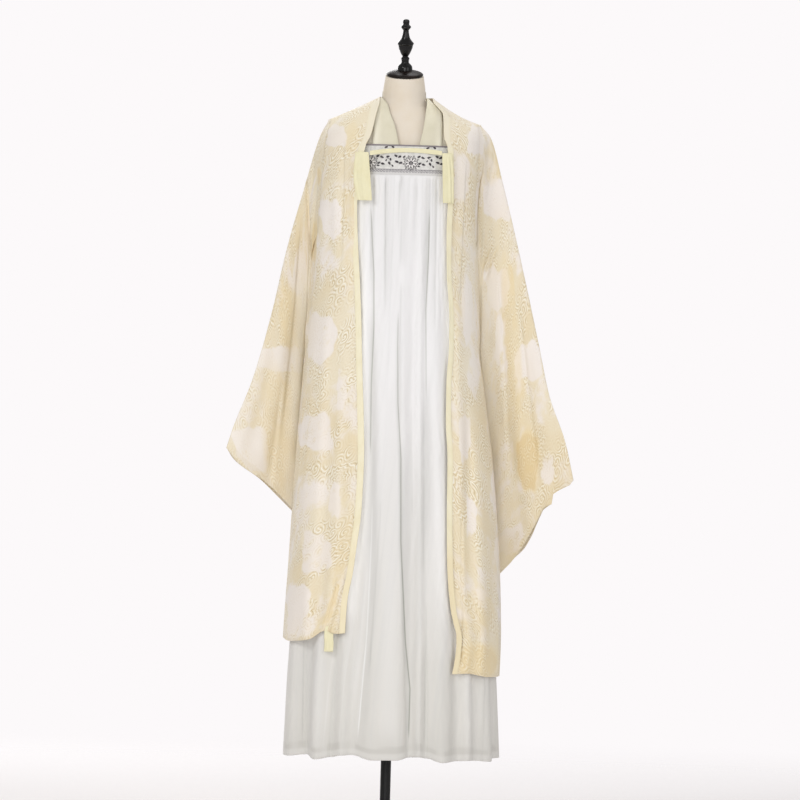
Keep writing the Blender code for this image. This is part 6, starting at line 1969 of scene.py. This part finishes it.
# ribbon across the chest and its two hanging ends
for side in (-1, 1):
    tag, table = tag_of(side), TABS[side]
    heights = column(table, "z")
    rows = []
    for z in spread(heights[0], heights[-1], 20):
        a, b = read(table, "inner", z), read(table, "outer", z)
        rows.append([Vector((side * (a + (b - a) * j / 8),
                             -robe_front_y(side, a + (b - a) * j / 8, z) - 0.0066, z)) for j in range(9)])
    sheet = Cloth(rows, 90, 36, "front").move(0.0006)
    u, v = sheet.lengths()
    share = u / u[:, -1:]
    sheet.move(0.0012 * np.exp(-((share - (0.42 if side < 0 else 0.6) - v * 0.8) / 0.10) ** 2) * soft(v / 0.02)
               - 0.0008 * np.exp(-((share - 0.8) / 0.08) ** 2) * soft(v / 0.03)
               + rumple(u, v, 61 + side, 0.0005, 0.05, 0.03))
    sheet.mark("edge", np.exp(-((share * u[:, -1:] - 0.0015) / 0.0006) ** 2)
               + np.exp(-(((1 - share) * u[:, -1:] - 0.0015) / 0.0006) ** 2))
    piece = cloth_piece("ribbon_end_" + tag, [sheet], ribbon_look, ("tie_tab_" + tag,))
    thick(piece, 0.0009)

rows = []
for k in spread(-8, 8, 65):
    x = -0.0700 + (0.0843 + 0.0700) * (k + 8) / 16
    side = -1 if x < 0 else 1
    arch = 1.4357 + 0.0038 * (k + 8) / 16 + 0.0068 * (1 - (k / 8) ** 2)
    near = oval(x, 0.1575, 0.1052) + 0.0030
    row = []
    for j in spread(0, 1, 7):
        z = arch + RIBBON_H * (j - 0.5)
        slope = read(SKIRT, "front", z) - 0.1052
        y0, y1 = near + slope, robe_front_y(side, x, z) + 0.0066
        row.append(Vector((x, -(y0 + (y1 - y0) * step((abs(k) - 4) / 4)), z)))
    rows.append(row)
sheet = Cloth(rows, 200, 16, "front").move(0.0006)
u, v = sheet.lengths()
share = np.linspace(0, 1, 16)[None, :]
sheet.move(0.0008 * np.sin(share * math.pi) - 0.0005 * np.exp(-((share - 0.55 - 0.1 * np.sin(v * 40)) / 0.08) ** 2))
piece = cloth_piece("ribbon_across", [sheet], ribbon_look, ("chest_ribbon",))
thick(piece, 0.0009)

# ---------------------------------------------------------- floor and light
def area_light(name, place, aim, size, power, colour=(1, 1, 1)):
    data = bpy.data.lights.new(name, "AREA")
    data.shape, data.size, data.energy, data.color = "DISK", size, power, colour
    lamp = bpy.data.objects.new(name, data)
    bpy.context.scene.collection.objects.link(lamp)
    lamp.location = place
    lamp.rotation_euler = (Vector(aim) - Vector(place)).to_track_quat("-Z", "Y").to_euler()
    return lamp


rings, points, faces = (0.0, 0.6, 1.5, 3.0, 5.0, 8.0), [], []
for r in rings:
    points += [Vector((r * math.cos(2 * math.pi * k / 64), r * math.sin(2 * math.pi * k / 64), 0.0))
               for k in range(64 if r else 1)]
for i in range(len(rings) - 1):
    for k in range(64):
        j = (k + 1) % 64
        if i == 0:
            faces.append([0, 1 + k, 1 + j])
        else:
            a, b = 1 + 64 * (i - 1), 1 + 64 * i
            faces.append([a + k, b + k, b + j, a + j])
floor_mesh = bpy.data.meshes.new("floor")
floor_mesh.from_pydata([tuple(p) for p in points], [], faces)
floor = bpy.data.objects.new("floor", floor_mesh)
bpy.context.scene.collection.objects.link(floor)
k = Look("floor", srgb(243, 240, 240), 0.9, Specular_IOR_Level=0.1)
spot = k.vector("LENGTH", k.place(), out=1)
k.feed("Alpha", k.ramp(spot, 0.7, 5.0, 1.0, 0.0))
floor_mesh.materials.append(k.material)
floor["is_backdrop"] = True

world = bpy.data.worlds.new("studio")
bpy.context.scene.world = world
world.use_nodes = True
nodes, links = world.node_tree.nodes, world.node_tree.links
seen = nodes["Background"]
seen.inputs[0].default_value, seen.inputs[1].default_value = srgb(252, 249, 250), 1.0
around = nodes.new("ShaderNodeBackground")
around.inputs[0].default_value, around.inputs[1].default_value = srgb(250, 248, 248), 0.52
path, either = nodes.new("ShaderNodeLightPath"), nodes.new("ShaderNodeMixShader")
links.new(path.outputs["Is Camera Ray"], either.inputs[0])
links.new(around.outputs[0], either.inputs[1])
links.new(seen.outputs[0], either.inputs[2])
links.new(either.outputs[0], nodes["World Output"].inputs["Surface"])
area_light("key", (-3.0, -4.6, 3.6), (0, 0, 1.0), 2.2, 80)
area_light("fill", (3.8, -3.8, 1.8), (0, 0, 0.9), 3.2, 35)
area_light("front", (-0.3, -6.4, 1.5), (0, 0, 0.95), 3.2, 85)
area_light("top", (0.3, 0.8, 4.2), (0, 0, 1.2), 2.4, 40)
area_light("rear", (-1.5, 4.6, 2.6), (0, 0, 1.0), 3.0, 80)
bpy.context.scene.view_settings.view_transform = "Standard"
bpy.context.scene.view_settings.look = "None"

low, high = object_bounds()
